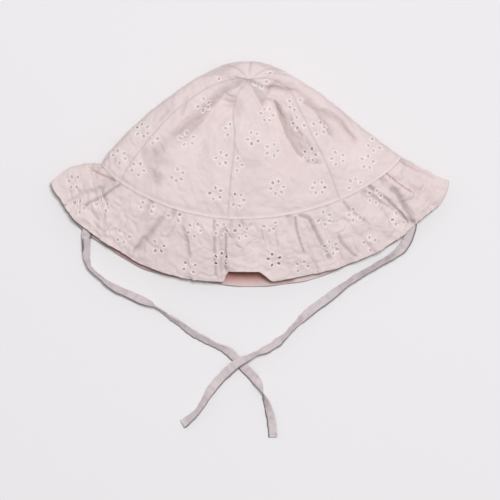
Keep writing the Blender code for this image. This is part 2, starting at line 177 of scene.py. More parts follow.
TIE_COLUMNS = ("x", "y", "lift", "roll")
LEFT_TIE = (
    (-0.1050, -0.0010, 0.0052, 0),
    (-0.1095, -0.0095, 0.0048, 0),
    (-0.1140, -0.0185, 0.0045, 2),
    (-0.1185, -0.0280, 0.0041, 4),
    (-0.1220, -0.0365, 0.0038, 6),
    (-0.1235, -0.0430, 0.0034, 10),
    (-0.1243, -0.0520, 0.0008, 30),
    (-0.1241, -0.0614, 0.0000, 50),
    (-0.1219, -0.0695, 0.0000, 70),
    (-0.1127, -0.0783, 0.0000, 70),
    (-0.1041, -0.0850, 0.0000, 52),
    (-0.0937, -0.0899, 0.0000, 42),
    (-0.0836, -0.0946, 0.0000, 32),
    (-0.0760, -0.0978, 0.0000, 58),
    (-0.0704, -0.1008, 0.0000, 95),
    (-0.0623, -0.1072, 0.0000, 115),
    (-0.0519, -0.1140, 0.0000, 128),
    (-0.0443, -0.1196, 0.0000, 138),
    (-0.0357, -0.1244, 0.0000, 135),
    (-0.0253, -0.1296, 0.0000, 128),
    (-0.0167, -0.1340, 0.0000, 150),
    (-0.0110, -0.1393, 0.0000, 165),
    (-0.0053, -0.1457, 0.0000, 168),
    (0.0023, -0.1533, 0.0000, 170),
    (0.0074, -0.1602, 0.0000, 235),
    (0.0106, -0.1672, 0.0000, 285),
    (0.0137, -0.1761, 0.0000, 320),
    (0.0162, -0.1862, 0.0000, 338),
    (0.0175, -0.1989, 0.0000, 342),
)
RIGHT_TIE = (
    (0.1100, 0.0045, 0.0058, 0),
    (0.1140, -0.0050, 0.0052, 0),
    (0.1180, -0.0150, 0.0047, 0),
    (0.1215, -0.0250, 0.0044, -2),
    (0.1233, -0.0340, 0.0041, -2),
    (0.1224, -0.0415, 0.0036, -4),
    (0.1189, -0.0510, 0.0016, -10),
    (0.1131, -0.0581, 0.0004, -30),
    (0.1049, -0.0638, 0.0000, -53),
    (0.0956, -0.0692, 0.0000, -53),
    (0.0885, -0.0733, 0.0000, -62),
    (0.0804, -0.0781, 0.0000, -45),
    (0.0733, -0.0829, 0.0000, -53),
    (0.0652, -0.0891, 0.0000, -36),
    (0.0559, -0.0961, 0.0000, -30),
    (0.0464, -0.1032, 0.0000, -24),
    (0.0383, -0.1102, 0.0000, -45),
    (0.0334, -0.1150, 0.0000, -62),
    (0.0277, -0.1213, 0.0000, -62),
    (0.0205, -0.1277, 0.0000, -36),
    (0.0125, -0.1326, 0.0000, -36),
    (0.0053, -0.1356, 0.0004, -66),
    (-0.0015, -0.1388, 0.0022, -56),
    (-0.0079, -0.1420, 0.0040, -20),
    (-0.0136, -0.1464, 0.0032, -8),
    (-0.0205, -0.1530, 0.0008, -6),
    (-0.0266, -0.1596, 0.0000, -10),
    (-0.0319, -0.1668, 0.0000, -36),
    (-0.0357, -0.1733, 0.0000, -50),
    (-0.0399, -0.1796, 0.0000, -52),
    (-0.0456, -0.1849, 0.0000, -36),
    (-0.0509, -0.1892, 0.0000, -30),
)

# The small folds that are pressed into the front. depth, left, right, begin and end are in
# millimetres, left and right being the widths of a fold's two flanks as its line runs. The next
# column is how much reddish bounce light is painted into the colour at the bottom, and shade how
# much painted shade darkens it there. The line's points are millimetres on the table.
FOLD_COLUMNS = ("name", "depth", "left", "right", "begin", "end", "painted_red_bounce", "shade", "line")
CROWN_FOLDS = (
    ("left_band", 0.9, 1.5, 11.0, 1, 16, 0, 0.40, ((-2.3, 72), (-10, 66), (-17.9, 62.3),
     (-29.6, 49.4), (-37.2, 39.8), (-50, 28), (-62.3, 18.5))),
    ("peak", 0.8, 4.0, 4.0, 3, 3, 0, 0.38, ((-6, 68.5), (-1.5, 70), (3.5, 66))),
    ("peak_right", 1.1, 2.5, 3.0, 2, 8, 0, 0.45, ((1, 69.5), (9, 65.9), (19.5, 65.1),
     (29.2, 63.6), (36, 61.5))),
    ("peak_short", 0.9, 8.5, 1.3, 1, 9, 0, 0.42, ((-1.5, 73), (1.5, 66), (5.3, 59.3),
     (9.1, 53.4), (12.5, 47.5))),
    ("valley_line", 1.2, 6.0, 1.3, 6, 8, 0.12, 0.52, ((17, 59.3), (19.5, 50.5), (22.2, 42.7),
     (24.3, 38.4), (28.1, 28.9), (36.2, 16), (44, 9.6), (57, 8))),
    ("valley_side", 0.6, 2.0, 1.6, 5, 8, 0, 0.25, ((29, 50), (31.5, 39), (37, 31), (43, 27))),
    ("shoulder", 1.0, 7.0, 1.3, 4, 8, 0, 0.44, ((38, 55.5), (48.5, 48.6), (55, 40), (60, 30),
     (65, 25.8))),
    ("right_band", 0.9, 3.5, 6.0, 5, 9, 0, 0.26, ((50, 50), (60, 46.4), (68, 41), (73, 33.4),
     (82.6, 20.8))),
    ("right_low", 0.7, 1.6, 1.8, 2, 3, 0, 0.30, ((71, 35), (76, 28.5), (79, 26))),
    ("left_upper", 0.9, 3.0, 4.0, 4, 6, 0, 0.20, ((-48, 60.6), (-50.2, 50.9), (-53.2, 41.2))),
    ("left_outer", 0.8, 2.6, 3.6, 4, 5, 0, 0.20, ((-60.7, 50.9), (-65.2, 44.2), (-68.9, 37.4))),
    ("left_line", 1.5, 12.0, 1.6, 5, 9, 0, 0.30, ((-84.0, 21.5), (-79, 9.1), (-74.5, -2.3),
     (-69.9, -12.9))),
    ("left_slope", 1.6, 9.0, 10.0, 8, 9, 0, 0.26, ((-38, 43), (-52.5, 30.7), (-66, 22),
     (-75, 12), (-74, -1), (-68, -11))),
    ("left_dent", 1.6, 9.0, 8.0, 8, 10, 0, 0.20, ((-81, 19), (-70, 10), (-57, 5.3))),
    ("middle_dip", 1.0, 6.0, 5.0, 6, 8, 0, 0.18, ((-13.5, 7.4), (0, 5.9), (13.5, 8.2))),
    ("peak_wrinkle_a", 0.7, 1.3, 1.6, 2, 3, 0, 0.30, ((-19.5, 61.4), (-14.2, 58.8), (-9, 58.7))),
    ("peak_wrinkle_b", 0.6, 1.3, 1.6, 2, 3, 0, 0.26, ((-21, 57.2), (-15, 54.6), (-9.7, 55.2))),
    ("peak_wrinkle_c", 0.6, 1.3, 1.6, 2, 3, 0, 0.22, ((-22, 53.0), (-16, 51.4), (-11, 51.6))),
    ("peak_wrinkle_d", 0.7, 1.3, 1.6, 2, 3, 0, 0.26, ((25.5, 60.6), (30, 62.9), (35.2, 64.4))),
    ("seam_wrinkle", 0.7, 1.6, 3.5, 2, 6, 0, 0.24, ((-12.2, 25), (-10.5, 18.5), (-6, 12))),
    ("lower_left", 0.7, 2.4, 4.0, 4, 6, 0, 0.18, ((-95.9, 17.9), (-91.4, 10.4), (-89.9, 1.5))),
)
BRIM_FOLDS = (
    ("left_crossing", 1.1, 1.4, 2.4, 1, 5, 0, 0.80, ((-97, -7), (-102, -10), (-109.1, -15.6),
     (-121, -20.9), (-125, -24), (-128.5, -27.8))),
    ("left_above", 1.2, 5.0, 6.0, 3, 6, 0, 0.24, ((-99, -6), (-110, -9), (-121, -15))),
    ("left_crevice", 1.0, 1.6, 2.2, 3, 2, 0.55, 0.30, ((-125, 9), (-120, 5.0), (-114, 1.0),
     (-107, -2.2), (-100, -6))),
    ("left_valley", 1.4, 4.5, 3.5, 4, 6, 0, 0.46, ((-65, -30), (-71, -38.5), (-78.5, -47.5),
     (-84.4, -55), (-89.6, -60.8))),
    ("left_faint", 0.7, 2.0, 2.0, 2, 8, 0, 0.22, ((-54.2, -33), (-61, -45.7), (-66, -53))),
    ("left_inner", 1.1, 1.4, 4.0, 6, 4, 0, 0.50, ((-52, -36), (-48.2, -45), (-46.6, -54),
     (-45, -65))),
    ("band_left", 1.1, 2.8, 1.1, 1, 2, 0.15, 0.50, ((-27.4, -33), (-27.2, -48), (-27.2, -63),
     (-26, -78))),
    ("band_right", 1.0, 1.0, 2.6, 4, 3, 0.1, 0.62, ((-19.0, -37), (-17.9, -48), (-18, -58),
     (-18.6, -74))),
    ("band", 0.8, 3.6, 3.6, 6, 3, 0, 0.26, ((-22, -38), (-21.5, -55), (-22, -76))),
    ("middle_slant", 0.7, 1.3, 2.0, 2, 3, 0, 0.28, ((-12.4, -52.2), (-4.8, -56.2))),
    ("middle_v", 0.8, 1.3, 2.2, 1, 3, 0, 0.26, ((-17, -43), (-14, -49), (-8, -36))),
    ("middle_tick", 0.8, 1.3, 1.8, 1, 3, 0, 0.32, ((1.5, -37), (-3.8, -43.4), (-6, -48))),
    ("right_tick", 0.6, 1.2, 1.6, 1, 4, 0, 0.24, ((9.5, -38), (8.6, -44), (11, -52))),
    ("right_a", 0.7, 1.3, 2.2, 2, 5, 0, 0.30, ((19.0, -35.5), (19.9, -46.8), (22.1, -56.5))),
    ("right_b", 0.9, 1.0, 2.8, 1, 5, 0.28, 0.45, ((34.2, -31.5), (35.2, -41.4), (38.7, -52.2),
     (42.5, -62))),
    ("right_c", 1.7, 4.0, 1.3, 1, 4, 0.08, 0.62, ((36, -31), (44.1, -33.6), (49.0, -43.6),
     (54.1, -53.6), (61, -66.8))),
    ("right_d", 1.0, 2.8, 1.3, 3, 4, 0, 0.50, ((65.5, -43.4), (68.8, -52.2), (77.5, -60.8),
     (83, -63))),
    ("right_e", 1.0, 1.3, 2.6, 1, 6, 0, 0.55, ((70, -19.3), (75, -26.4), (84, -32.7), (90, -38))),
    ("right_f", 1.4, 1.5, 3.0, 1, 4, 0.3, 0.75, ((87.1, -6.0), (95.7, -12.8), (104.4, -18.8),
     (110.7, -25.4), (117.3, -31.7), (121.6, -38.2))),
    ("right_under", 0.9, 3.0, 4.2, 3, 4, 0, 0.40, ((83, -11), (93, -16.5), (101, -23))),
    ("right_pocket", 1.6, 4.5, 4.0, 4, 1, 0, 0.66, ((104, -9), (111.2, -13), (115.8, -21),
     (120.2, -29), (124.4, -37))),
    ("right_g", 1.1, 2.0, 1.3, 1, 4, 0, 0.26, ((94.9, -2.0), (104.4, -7.3), (110.7, -12.6),
     (114, -20.8), (121.6, -28.4), (125.8, -33.7))),
    ("right_h", 0.9, 1.0, 1.3, 1, 8, 1.0, 0.15, ((97.3, 6.2), (103.0, 1.0), (109.5, -4.0),
     (115.0, -8.2), (122, -12.8), (127.5, -15.6))),
    ("right_i", 0.8, 3.0, 1.6, 2, 5, 0, 0.24, ((81.8, -12.5), (91.4, -18.8), (100.1, -26.3),
     (105.4, -33.9), (106.5, -41.4))),
    ("right_j", 0.7, 1.3, 2.0, 1, 4, 0, 0.22, ((60.8, -54), (67.8, -57), (71, -67))),
    ("right_k", 0.6, 1.3, 2.0, 2, 3, 0, 0.22, ((77.6, -50.5), (83.6, -61.5))),
    ("right_edge", 1.0, 1.2, 2.2, 2, 5, 0.75, 0.30, ((113, 10.6), (118, 7.6), (128.5, 3.0),
     (137, -1.2), (143, -4.6))),
)

# The embroidered flowers of the front, as millimetres on the table
CROWN_FLOWERS = (
    (-55, -0.8), (-84.7, 4.1), (-80.9, 32.9), (-74.2, 27.7), (-47.2, 26.2), (-35.2, 52.4),
    (-21, 75.6), (-98.9, 13.1), (-25.9, -14.6), (-9.7, -19.5), (-21.4, 11.6), (-10.9, 7.4),
    (-14.2, 32.9), (7.5, 70.4), (12.7, 44.9), (16.5, 17.9), (20.2, -10.2), (45, 14.9),
    (65.9, 11.9), (51.4, -10.2), (36.7, 38.9), (51.4, 34.4), (2.2, 26.9), (33.7, 53.2),
    (93.7, 22.4), (88.4, 8.9), (78.7, -8.3),
)
BRIM_FLOWERS = (
    (-132.9, -5.8), (-112.2, -23.9), (-77.6, -24.6), (-57.2, -32.1), (-42.2, -41.9), (-69.3, -54),
    (-95.7, -46.5), (-45.9, -69.8), (-21.8, -41.9), (-21.8, -64.5), (-129.9, -24.6),
    (-6.8, -43.4), (14.7, -37.8), (18.1, -64.5), (55.7, -32.9), (79.1, -30.6), (61, -55.5),
    (111.8, -33.7), (94.1, -16.7), (90.4, -52.5), (39.2, -69.8),
)
PETALS = (6, 5, 6, 5, 5, 6, 5)  # eyelets in one flower after another
MM = 0.001

# The stitched rim of an eyelet, from its hole's edge outwards
RIM_COLUMNS = ("out", "height", "stitched")
RIM = ((0.0, 0.35, 1.0), (0.00040, 1.0, 1.0), (0.00085, 0.0, 0.2))
RIM_WIDTH = RIM[-1][0]
HOLE_WALL = 0.00050  # how far a hole's edge is turned in
EYELET_VARIES = 0.10  # share of its size
EYELET_SPACING = 0.0037  # between the middles of two eyelets
STRETCH_LIMIT = 1.5  # how much longer an eyelet may be where the cloth slopes away
GROOVE_WIDTH = 0.0011  # of a seam between two gores
LINING_GAP = 0.0009
ACROSS, DOWN = 240, 120  # steps of a flat pattern's table
SEARCH_STEPS = 8
TIE_SIDES = 28
TIE_STITCH = 0.0024
TIE_STITCH_HEIGHT = 0.00016
BRIM_STEP_SHARE = 0.86  # of the cloth step
BRIM_BACK_STEP_SHARE = 1.35  # of the brim's step
CROWN_BACK_STEP_SHARE = 1.5
FOLDED_IN = 0.0012  # how far the crown's lower edge turns in
SEAM_TURNED_IN = 0.0010

CAMERA_PLACE = (0, -0.057, 3.0)
VIEW_WIDTH = 0.380  # of the surface, in the picture
KEY_PLACE = (0.52, 0.74, 3.88)
KEY_AIM = (0, -0.02, 0)
KEY_SIZE = 1.10
KEY_POWER = 111.0
KEY_COLOUR = (1.0, 0.985, 0.985)
SKY_COLOUR = (0.97, 0.98, 1.0, 1)
SKY_STRENGTH = 0.395
RED_BOUNCE_LIGHT = (0.44, 0.18, 0.145, 1)  # the reddish light from deep inside the hat


class HatSizes(bpy.types.PropertyGroup):
    """Sizes of the cloth and its embroidery."""

    cloth_step: FloatProperty(
        name="Cloth step", description="Distance between points of the cloth",
        default=0.00090, min=0.0006, max=0.004, subtype="DISTANCE", unit="LENGTH",
    )
    flower_radius: FloatProperty(
        name="Flower radius", description="From a flower's middle to its eyelets",
        default=0.0046, min=0.002, max=0.008, subtype="DISTANCE", unit="LENGTH",
    )
    eyelet_length: FloatProperty(
        name="Eyelet length", description="Length of an eyelet's hole, towards the flower's middle",
        default=0.0026, min=0.0008, max=0.004, subtype="DISTANCE", unit="LENGTH",
    )
    eyelet_width: FloatProperty(
        name="Eyelet width", description="Width of an eyelet's hole",
        default=0.0020, min=0.0006, max=0.003, subtype="DISTANCE", unit="LENGTH",
    )
    rim_height: FloatProperty(
        name="Rim height", description="How far the stitched rim of an eyelet stands up",
        default=0.00035, min=0.0, max=0.001, subtype="DISTANCE", unit="LENGTH",
    )
    welt_height: FloatProperty(
        name="Welt height", description="How far the crown's edge stands up at the seam",
        default=0.0005, min=0.0, max=0.002, subtype="DISTANCE", unit="LENGTH",
    )
    crinkle: FloatProperty(
        name="Crinkle", description="Height of the cloth's small crinkles",
        default=0.00115, min=0.0, max=0.002, subtype="DISTANCE", unit="LENGTH",
    )
    gather_height: FloatProperty(
        name="Gather height", description="Height of the fine gathers under the seam",
        default=0.0008, min=0.0, max=0.003, subtype="DISTANCE", unit="LENGTH",
    )
    weave: FloatProperty(
        name="Weave", description="Distance between threads of the cotton",
        default=0.00042, min=0.0001, max=0.002, subtype="DISTANCE", unit="LENGTH",
    )
    eyelet_sides: IntProperty(
        name="Eyelet sides", description="Sides of an eyelet's hole", default=10, min=6, max=24,
    )


class HatColours(bpy.types.PropertyGroup):
    """Colours of the cloth and the stage."""

    cotton: FloatVectorProperty(
        name="Cotton", description="The embroidered cotton", subtype="COLOR", size=4,
        default=(0.765, 0.655, 0.645, 1), min=0, max=1,
    )
    thread: FloatVectorProperty(
        name="Thread", description="The embroidery's thread", subtype="COLOR", size=4,
        default=(0.90, 0.83, 0.82, 1), min=0, max=1,
    )
    lining: FloatVectorProperty(
        name="Lining", description="The plain lining", subtype="COLOR", size=4,
        default=(0.72, 0.60, 0.58, 1), min=0, max=1,
    )
    ties: FloatVectorProperty(
        name="Ties", description="The ties", subtype="COLOR", size=4,
        default=(0.66, 0.59, 0.60, 1), min=0, max=1,
    )
    floor: FloatVectorProperty(
        name="Floor", description="The pale floor", subtype="COLOR", size=4,
        default=(0.80, 0.79, 0.80, 1), min=0, max=1,
    )


def sizes():
    """The sizes set in the sidebar."""
    return bpy.context.scene.sun_hat_sizes


def colours():
    """The colours set in the sidebar."""
    return bpy.context.scene.sun_hat_colours


# The form


def column(columns, rows, name):
    """One named column of a table."""
    return np.array([row[columns.index(name)] for row in rows], float)


def through(knots, values, at):
    """A smooth curve through a table's rows, with no overshoot between them."""
    step = np.diff(knots)
    slope = np.diff(values) / step
    tangent = np.zeros(len(values))
    tangent[0], tangent[-1] = slope[0], slope[-1]
    same_way = slope[:-1] * slope[1:] > 0
    inner = np.zeros(len(values) - 2)
    inner[same_way] = (
        2 * slope[:-1][same_way] * slope[1:][same_way] / (slope[:-1] + slope[1:])[same_way]
    )
    tangent[1:-1] = inner
    at = np.asarray(at, float)
    first = np.clip(np.searchsorted(knots, at, side="right") - 1, 0, len(step) - 1)
    u = (at - knots[first]) / step[first]
    return (
        values[first] * (1 + 2 * u) * (1 - u) ** 2
        + tangent[first] * step[first] * u * (1 - u) ** 2
        + values[first + 1] * u * u * (3 - 2 * u)
        - tangent[first + 1] * step[first] * u * u * (1 - u)
    )


def ease(share):
    """0 below 0, 1 above 1 and smooth between them."""
    share = np.clip(share, 0, 1)
    return share * share * (3 - 2 * share)


def fold_drop(x, y, fold, line, chord=False):
    """How deep a fold is at places on the table, as a share of its depth.

    With chord, its two ends fade along the straight way from its first to its last point.
    """
    nearest = np.full(np.shape(x), np.inf)
    side = np.zeros(np.shape(x))
    run = np.zeros(np.shape(x))
    before = 0.0
    for a, b in zip(line[:-1], line[1:]):
        way = b - a
        length = np.hypot(*way)
        share = np.clip(((x - a[0]) * way[0] + (y - a[1]) * way[1]) / length**2, 0, 1)
        off_x, off_y = x - a[0] - share * way[0], y - a[1] - share * way[1]
        distance = np.hypot(off_x, off_y)
        closer = distance < nearest
        nearest = np.where(closer, distance, nearest)
        side = np.where(closer, np.sign(way[0] * off_y - way[1] * off_x), side)
        run = np.where(closer, before + share * length, run)
        before += length
    width = np.where(side > 0, fold["left"], fold["right"])
    if chord:
        way = line[-1] - line[0]
        whole = np.hypot(*way)
        run = ((x - line[0][0]) * way[0] + (y - line[0][1]) * way[1]) / whole**2 * before
    ends = ease(run / fold["begin"]) * ease((before - run) / fold["end"])
    return ends * (1 - ease(nearest / width))


def crease_drop(x, y, crease):
    """How much lower the front lies in one of the crown's sunken folds, in shares of the loft."""
    widths = ("left", "right", "begin", "end")
    fold = {name: crease[name] * CROWN_DEPTH for name in widths}
    line = np.array(crease["line"]) * (CROWN_WIDTH / 2, CROWN_DEPTH)
    return crease["depth"] * fold_drop(x, y, fold, line, chord=True)


def swung(turn, along):
    """Turns moved over near the top, so that the front's seams run as they lie."""
    alongs = column(SWING_COLUMNS, SEAM_SWINGS, "along")
    seams = np.array([0, GORES[0][1], GORES[0][2], GORES[1][2], 360], float)
    once_round = np.asarray(turn, float) % 360
    moved = np.asarray(turn, float)
    for name, share in (("right", (0, 1, 0, 0, 0)), ("middle", (0, 0, 1, 0, 0))):
        swing = through(alongs, column(SWING_COLUMNS, SEAM_SWINGS, name), along)
        moved = moved + swing * through(seams, np.array(share, float), once_round)
    return moved


def crown_point(turn, along):
    """A point in the middle of the crown's wall. turn is in degrees round the crown."""
    angle = np.radians(swung(turn, along))
    c, s = np.cos(angle), np.sin(angle)
    knots = column(RING_COLUMNS, RINGS, "along")
    ring = {
        name: through(knots, column(RING_COLUMNS, RINGS, name), along)
        for name in RING_COLUMNS[1:]
    }
    x = ring["mid_x"] + np.where(
        c > 0, (ring["right_x"] - ring["mid_x"]) * c, (ring["mid_x"] - ring["left_x"]) * c
    )
    side_y = (ring["left_y"] * (1 - c) + ring["right_y"] * (1 + c)) / 2
    front = s > 0
    sweep = np.abs(s) ** FRONT_SWEEP
    y = side_y + (np.where(front, ring["front_y"], ring["back_y"]) - side_y) * sweep
    roll = np.abs(s) ** np.where(front, FRONT_ROLL, BACK_ROLL)
    z = ring["side_z"] + (np.where(front, ring["front_z"], ring["back_z"]) - ring["side_z"]) * roll
    x, y = x * CROWN_WIDTH / 2, y * CROWN_DEPTH
    z = z - np.max([crease_drop(x, y, crease) for crease in CREASES], axis=0) * ease(s / 0.25)
    return np.stack([x, y + SEAM_Y, np.maximum(z * CROWN_LOFT, WALL / 2)], axis=-1)


def pleat_drop(turn, across):
    """How far the front brim's pleats lower it, in shares of PLEAT_DEPTH."""
    drop = np.zeros(np.shape(turn))
    for row in PLEATS:
        pleat = dict(zip(PLEAT_COLUMNS, row))
        line = pleat["seam"] + (pleat["edge"] - pleat["seam"]) * across
        past = (turn - line) * math.copysign(1, pleat["width"])
        width = abs(pleat["width"])
        fall = ease(past / PLEAT_STEP + 0.5)
        rise = 1 - ease((past - PLEAT_STEP / 2) / (width - PLEAT_STEP / 2))
        begins = ease((across - pleat["start"]) / 0.25 + (pleat["start"] == 0))
        drop = drop + pleat["depth"] * fall * rise * begins
    return drop


def brim_point(turn, across):
    """A point in the middle of the brim's wall. across is 0 at the crown and 1 at the edge."""
    angle = np.radians(turn)
    c, s = np.cos(angle), np.sin(angle)
    inner = crown_point(turn, np.ones(np.shape(turn)))
    front = s > 0
    notch = ease((turn - NOTCH_LOW) / 5) * ease((NOTCH_HIGH - turn) / 2)
    round_half = np.degrees(np.arccos(np.clip(c, -1, 1)))
    knots = column(HEM_COLUMNS, HEM, "turn")
    reach = np.where(
        front,
        through(knots, column(HEM_COLUMNS, HEM, "front_y"), round_half),
        through(knots, column(HEM_COLUMNS, HEM, "back_y"), round_half),
    )
    edge_x = BRIM_SPREAD / 2 * c
    edge_y = SEAM_Y + TIP_RISE - (BRIM_BACK + TIP_RISE) * reach + NOTCH_BACK * notch
    edge_z = np.where(
        front,
        TIP_HEIGHT + (BRIM_EDGE_HEIGHT - TIP_HEIGHT) * np.abs(s),
        TIP_HEIGHT + (WALL / 2 - TIP_HEIGHT) * np.abs(s) ** BACK_ROLL,
    )
    x = inner[..., 0] + (edge_x - inner[..., 0]) * across
    y = inner[..., 1] + (edge_y - inner[..., 1]) * across
    y = y + LEFT_BULGE * ease((-c - 0.80) / 0.20) * 4 * across * (1 - across)
    z = inner[..., 2] + (edge_z - inner[..., 2]) * across ** np.where(front, BRIM_FALL, 1)
    facing = ease(np.abs(s) / 0.35)
    deep = pleat_drop(turn, across) * PLEAT_DEPTH * (0.1 + 0.9 * across)
    clear = ease((np.abs(s) - GATHER_CLEAR) / (1 - GATHER_CLEAR))
    wave = (1 + np.cos(np.radians(turn * GATHER_COUNT))) / 2 * GATHER_DEPTH * across * clear
    z = z + np.where(front, NOTCH_LIFT * notch * across**2 - deep * facing, wave)
    return np.stack([x, y, np.maximum(z, WALL / 2)], axis=-1)


def outward(form, turn, along):
    """The outward normals of a form."""
    by_turn = form(turn + 0.05, along) - form(turn - 0.05, along)
    ahead = np.clip(along + 0.0005, 0.001, 1)
    by_along = form(turn, ahead) - form(turn, ahead - 0.001)
    normal = np.cross(by_turn, by_along)
    return normal / np.maximum(np.linalg.norm(normal, axis=-1, keepdims=True), 1e-12)


def seam_outward(turn):
    """The direction halfway between the crown's and the brim's normals where they meet."""
    both = outward(crown_point, turn, np.ones(np.shape(turn)))
    both = both + outward(brim_point, turn, np.zeros(np.shape(turn)))
    return both / np.linalg.norm(both, axis=-1, keepdims=True)


class FlatPattern:
    """A panel of the form laid out flat, as it is cut, with u across it and v down it."""

    def __init__(self, form, low, high, first=0.0):
        self.form, self.low, self.high = form, low, high
        self.alongs = np.linspace(first, 1, DOWN + 1)
        turns = np.linspace(low, high, ACROSS + 1)
        places = form(*np.meshgrid(turns, self.alongs))
        step = np.linalg.norm(np.diff(places, axis=1), axis=2)
        self.u = np.concatenate([np.zeros((DOWN + 1, 1)), np.cumsum(step, axis=1)], axis=1)
        middle = ACROSS // 2
        self.u -= self.u[:, middle : middle + 1]
        down = np.linalg.norm(np.diff(places[:, middle], axis=0), axis=1)
        self.v = np.concatenate([[0], np.cumsum(down)])
        shares = np.linspace(0, 1, ACROSS + 1)
        self.turn_at = np.array(
            [
                np.interp(shares, (row - row[0]) / max(row[-1] - row[0], 1e-9), turns)
                for row in self.u
            ]
        )

    def read(self, table, at, across):
        """The table's value between its rows and columns."""
        low = np.clip(at.astype(int), 0, DOWN - 1)
        left = np.clip(across.astype(int), 0, ACROSS - 1)
        part, right = at - low, across - left
        upper = table[low, left] * (1 - right) + table[low, left + 1] * right
        lower = table[low + 1, left] * (1 - right) + table[low + 1, left + 1] * right
        return upper * (1 - part) + lower * part

    def ends(self, v):
        """The left and right edges of the panel at v."""
        at = np.interp(v, self.v, np.arange(DOWN + 1.0))
        return tuple(self.read(self.u, at, np.full(len(v), side)) for side in (0.0, ACROSS))

    def on_form(self, u, v):
        """The turn and along of places on the flat panel."""
        first, last = self.ends(v)
        across = np.clip((u - first) / np.maximum(last - first, 1e-9), 0, 1) * ACROSS
        at = np.interp(v, self.v, np.arange(DOWN + 1.0))
        return self.read(self.turn_at, at, across), np.interp(v, self.v, self.alongs)

    def laid_flat(self, turn, along):
        """The place on the flat panel of a turn and along."""
        at = np.interp(along, self.alongs, np.arange(DOWN + 1.0))
        across = np.clip((turn - self.low) / (self.high - self.low), 0, 1) * ACROSS
        return self.read(self.u, at, across), np.interp(along, self.alongs, self.v)


def found_on(form, places, low, high):
    """The turns and alongs of the places on the table, in metres, as the form covers them."""
    turns, alongs = np.meshgrid(np.linspace(low, high, 361), np.linspace(0.01, 0.99, 121))
    grid = form(turns, alongs)[..., :2].reshape(-1, 2)
    found = [np.argmin(np.sum((grid - place) ** 2, axis=1)) for place in places]
    turn, along = turns.ravel()[found], alongs.ravel()[found]
    for _ in range(SEARCH_STEPS):
        off = places - form(turn, along)[:, :2]
        by_turn = (form(turn + 0.2, along) - form(turn - 0.2, along))[:, :2] / 0.4
        by_along = (form(turn, along + 0.002) - form(turn, along - 0.002))[:, :2] / 0.004
        area = by_turn[:, 0] * by_along[:, 1] - by_turn[:, 1] * by_along[:, 0]
        area = np.where(np.abs(area) < 1e-7, 1e-7, area)
        step = (off[:, 0] * by_along[:, 1] - off[:, 1] * by_along[:, 0]) / area
        turn = np.clip(turn + np.clip(step, -0.5, 0.5), low, high)
        step = (off[:, 1] * by_turn[:, 0] - off[:, 0] * by_turn[:, 1]) / area
        along = np.clip(along + np.clip(step, -0.01, 0.01), 0.003, 0.997)
    return turn, along


# The cloth


def crumple(places, size, shift=0.0):
    """Smooth noise from about -1 to 1 whose bumps are about size across."""
    return np.array([noise.noise(Vector(place)) for place in places / size + shift])


def crinkles(places):
    """The small crinkles of crumpled double cotton, about -1 to 1."""
    bends = [crumple(places, 0.011, shift) for shift in (31.0, 37.0, 43.0)]
    bent = places + 0.003 * np.stack(bends, axis=1)
    soft = 0.9 * crumple(bent, 0.0125, 3.0) + 0.60 * crumple(bent, 0.0058, 11.0)
    fine = 0.34 * crumple(bent, 0.0029, 23.0)
    lines = 1 - ease(np.abs(crumple(bent, 0.016, 41.0)) / 0.13)
    some = ease(0.5 + 1.8 * crumple(places, 0.030, 57.0))
    more = 1 + 0.7 * ease((np.abs(places[:, 0]) - 0.088) / 0.020)
    return (soft + fine - 0.40 * lines * some) * more


def charted(folds, places):
    """The depth of the charted folds at places, in metres, and the reddish bounce light and the
    shade painted there.
    """
    x, y = places[:, 0] / MM, places[:, 1] / MM
    depth, painted_red_bounce, shade = np.zeros(len(x)), np.zeros(len(x)), np.zeros(len(x))
    for row in folds:
        fold = dict(zip(FOLD_COLUMNS, row))
        line = np.array(fold["line"], float)
        low, high = line.min(axis=0) - 10, line.max(axis=0) + 10
        near = (x > low[0]) & (x < high[0]) & (y > low[1]) & (y < high[1])
        share = fold_drop(x[near], y[near], fold, line)
        depth[near] += share * fold["depth"] * MM
        # painted reddish bounce light along a fold's bottom, and painted shade darkest at its line
        painted_red_bounce[near] = np.maximum(painted_red_bounce[near], fold["painted_red_bounce"] * ease((share - 0.6) / 0.4))
        shade[near] = np.maximum(shade[near], fold["shade"] * share**1.5)
    return depth, painted_red_bounce, shade


def crown_relief(turn, along, places, to_side):
    """How high the crown's cloth lies over its smooth form, its painted reddish bounce light and
    painted shade, and its pale stitches.
    """
    s = np.sin(np.radians(turn))
    front = ease(s / 0.25)
    depth, painted_red_bounce, shade = charted(CROWN_FOLDS, places)
    height = crinkles(places) * sizes().crinkle * (0.55 + 0.45 * front) - depth * front
    groove = (1 - ease(to_side / GROOVE_WIDTH)) * ease(along / 0.06)
    from_edge = (1 - along) * (CROWN_DEPTH + CROWN_LOFT) * 0.86
    from_edge = from_edge + 0.00025 * crumple(places, 0.0045, 67.0)
    welt = ease(from_edge / 0.0004 + 0.3) * (1 - ease((from_edge - 0.0005) / 0.0009))
    dip = ease((from_edge - 0.0014) / 0.0008) * (1 - ease((from_edge - 0.0026) / 0.0030))
    calm = ease(from_edge / 0.006)
    stitches = 0.7 + 0.5 * crumple(places, 0.0021, 61.0)
    height = height * (0.35 + 0.65 * calm) - 0.00042 * groove * (1 - welt)
    height = height + sizes().welt_height * welt * stitches - 0.0002 * dip
    # painted shade in the groove of each seam between gores and in the dip under the welt
    shade = np.maximum(shade * front, 0.30 * groove * (1 - welt))
    return height, painted_red_bounce * front, np.maximum(shade, 0.08 * dip), 0.6 * welt * np.clip(stitches, 0, 1)


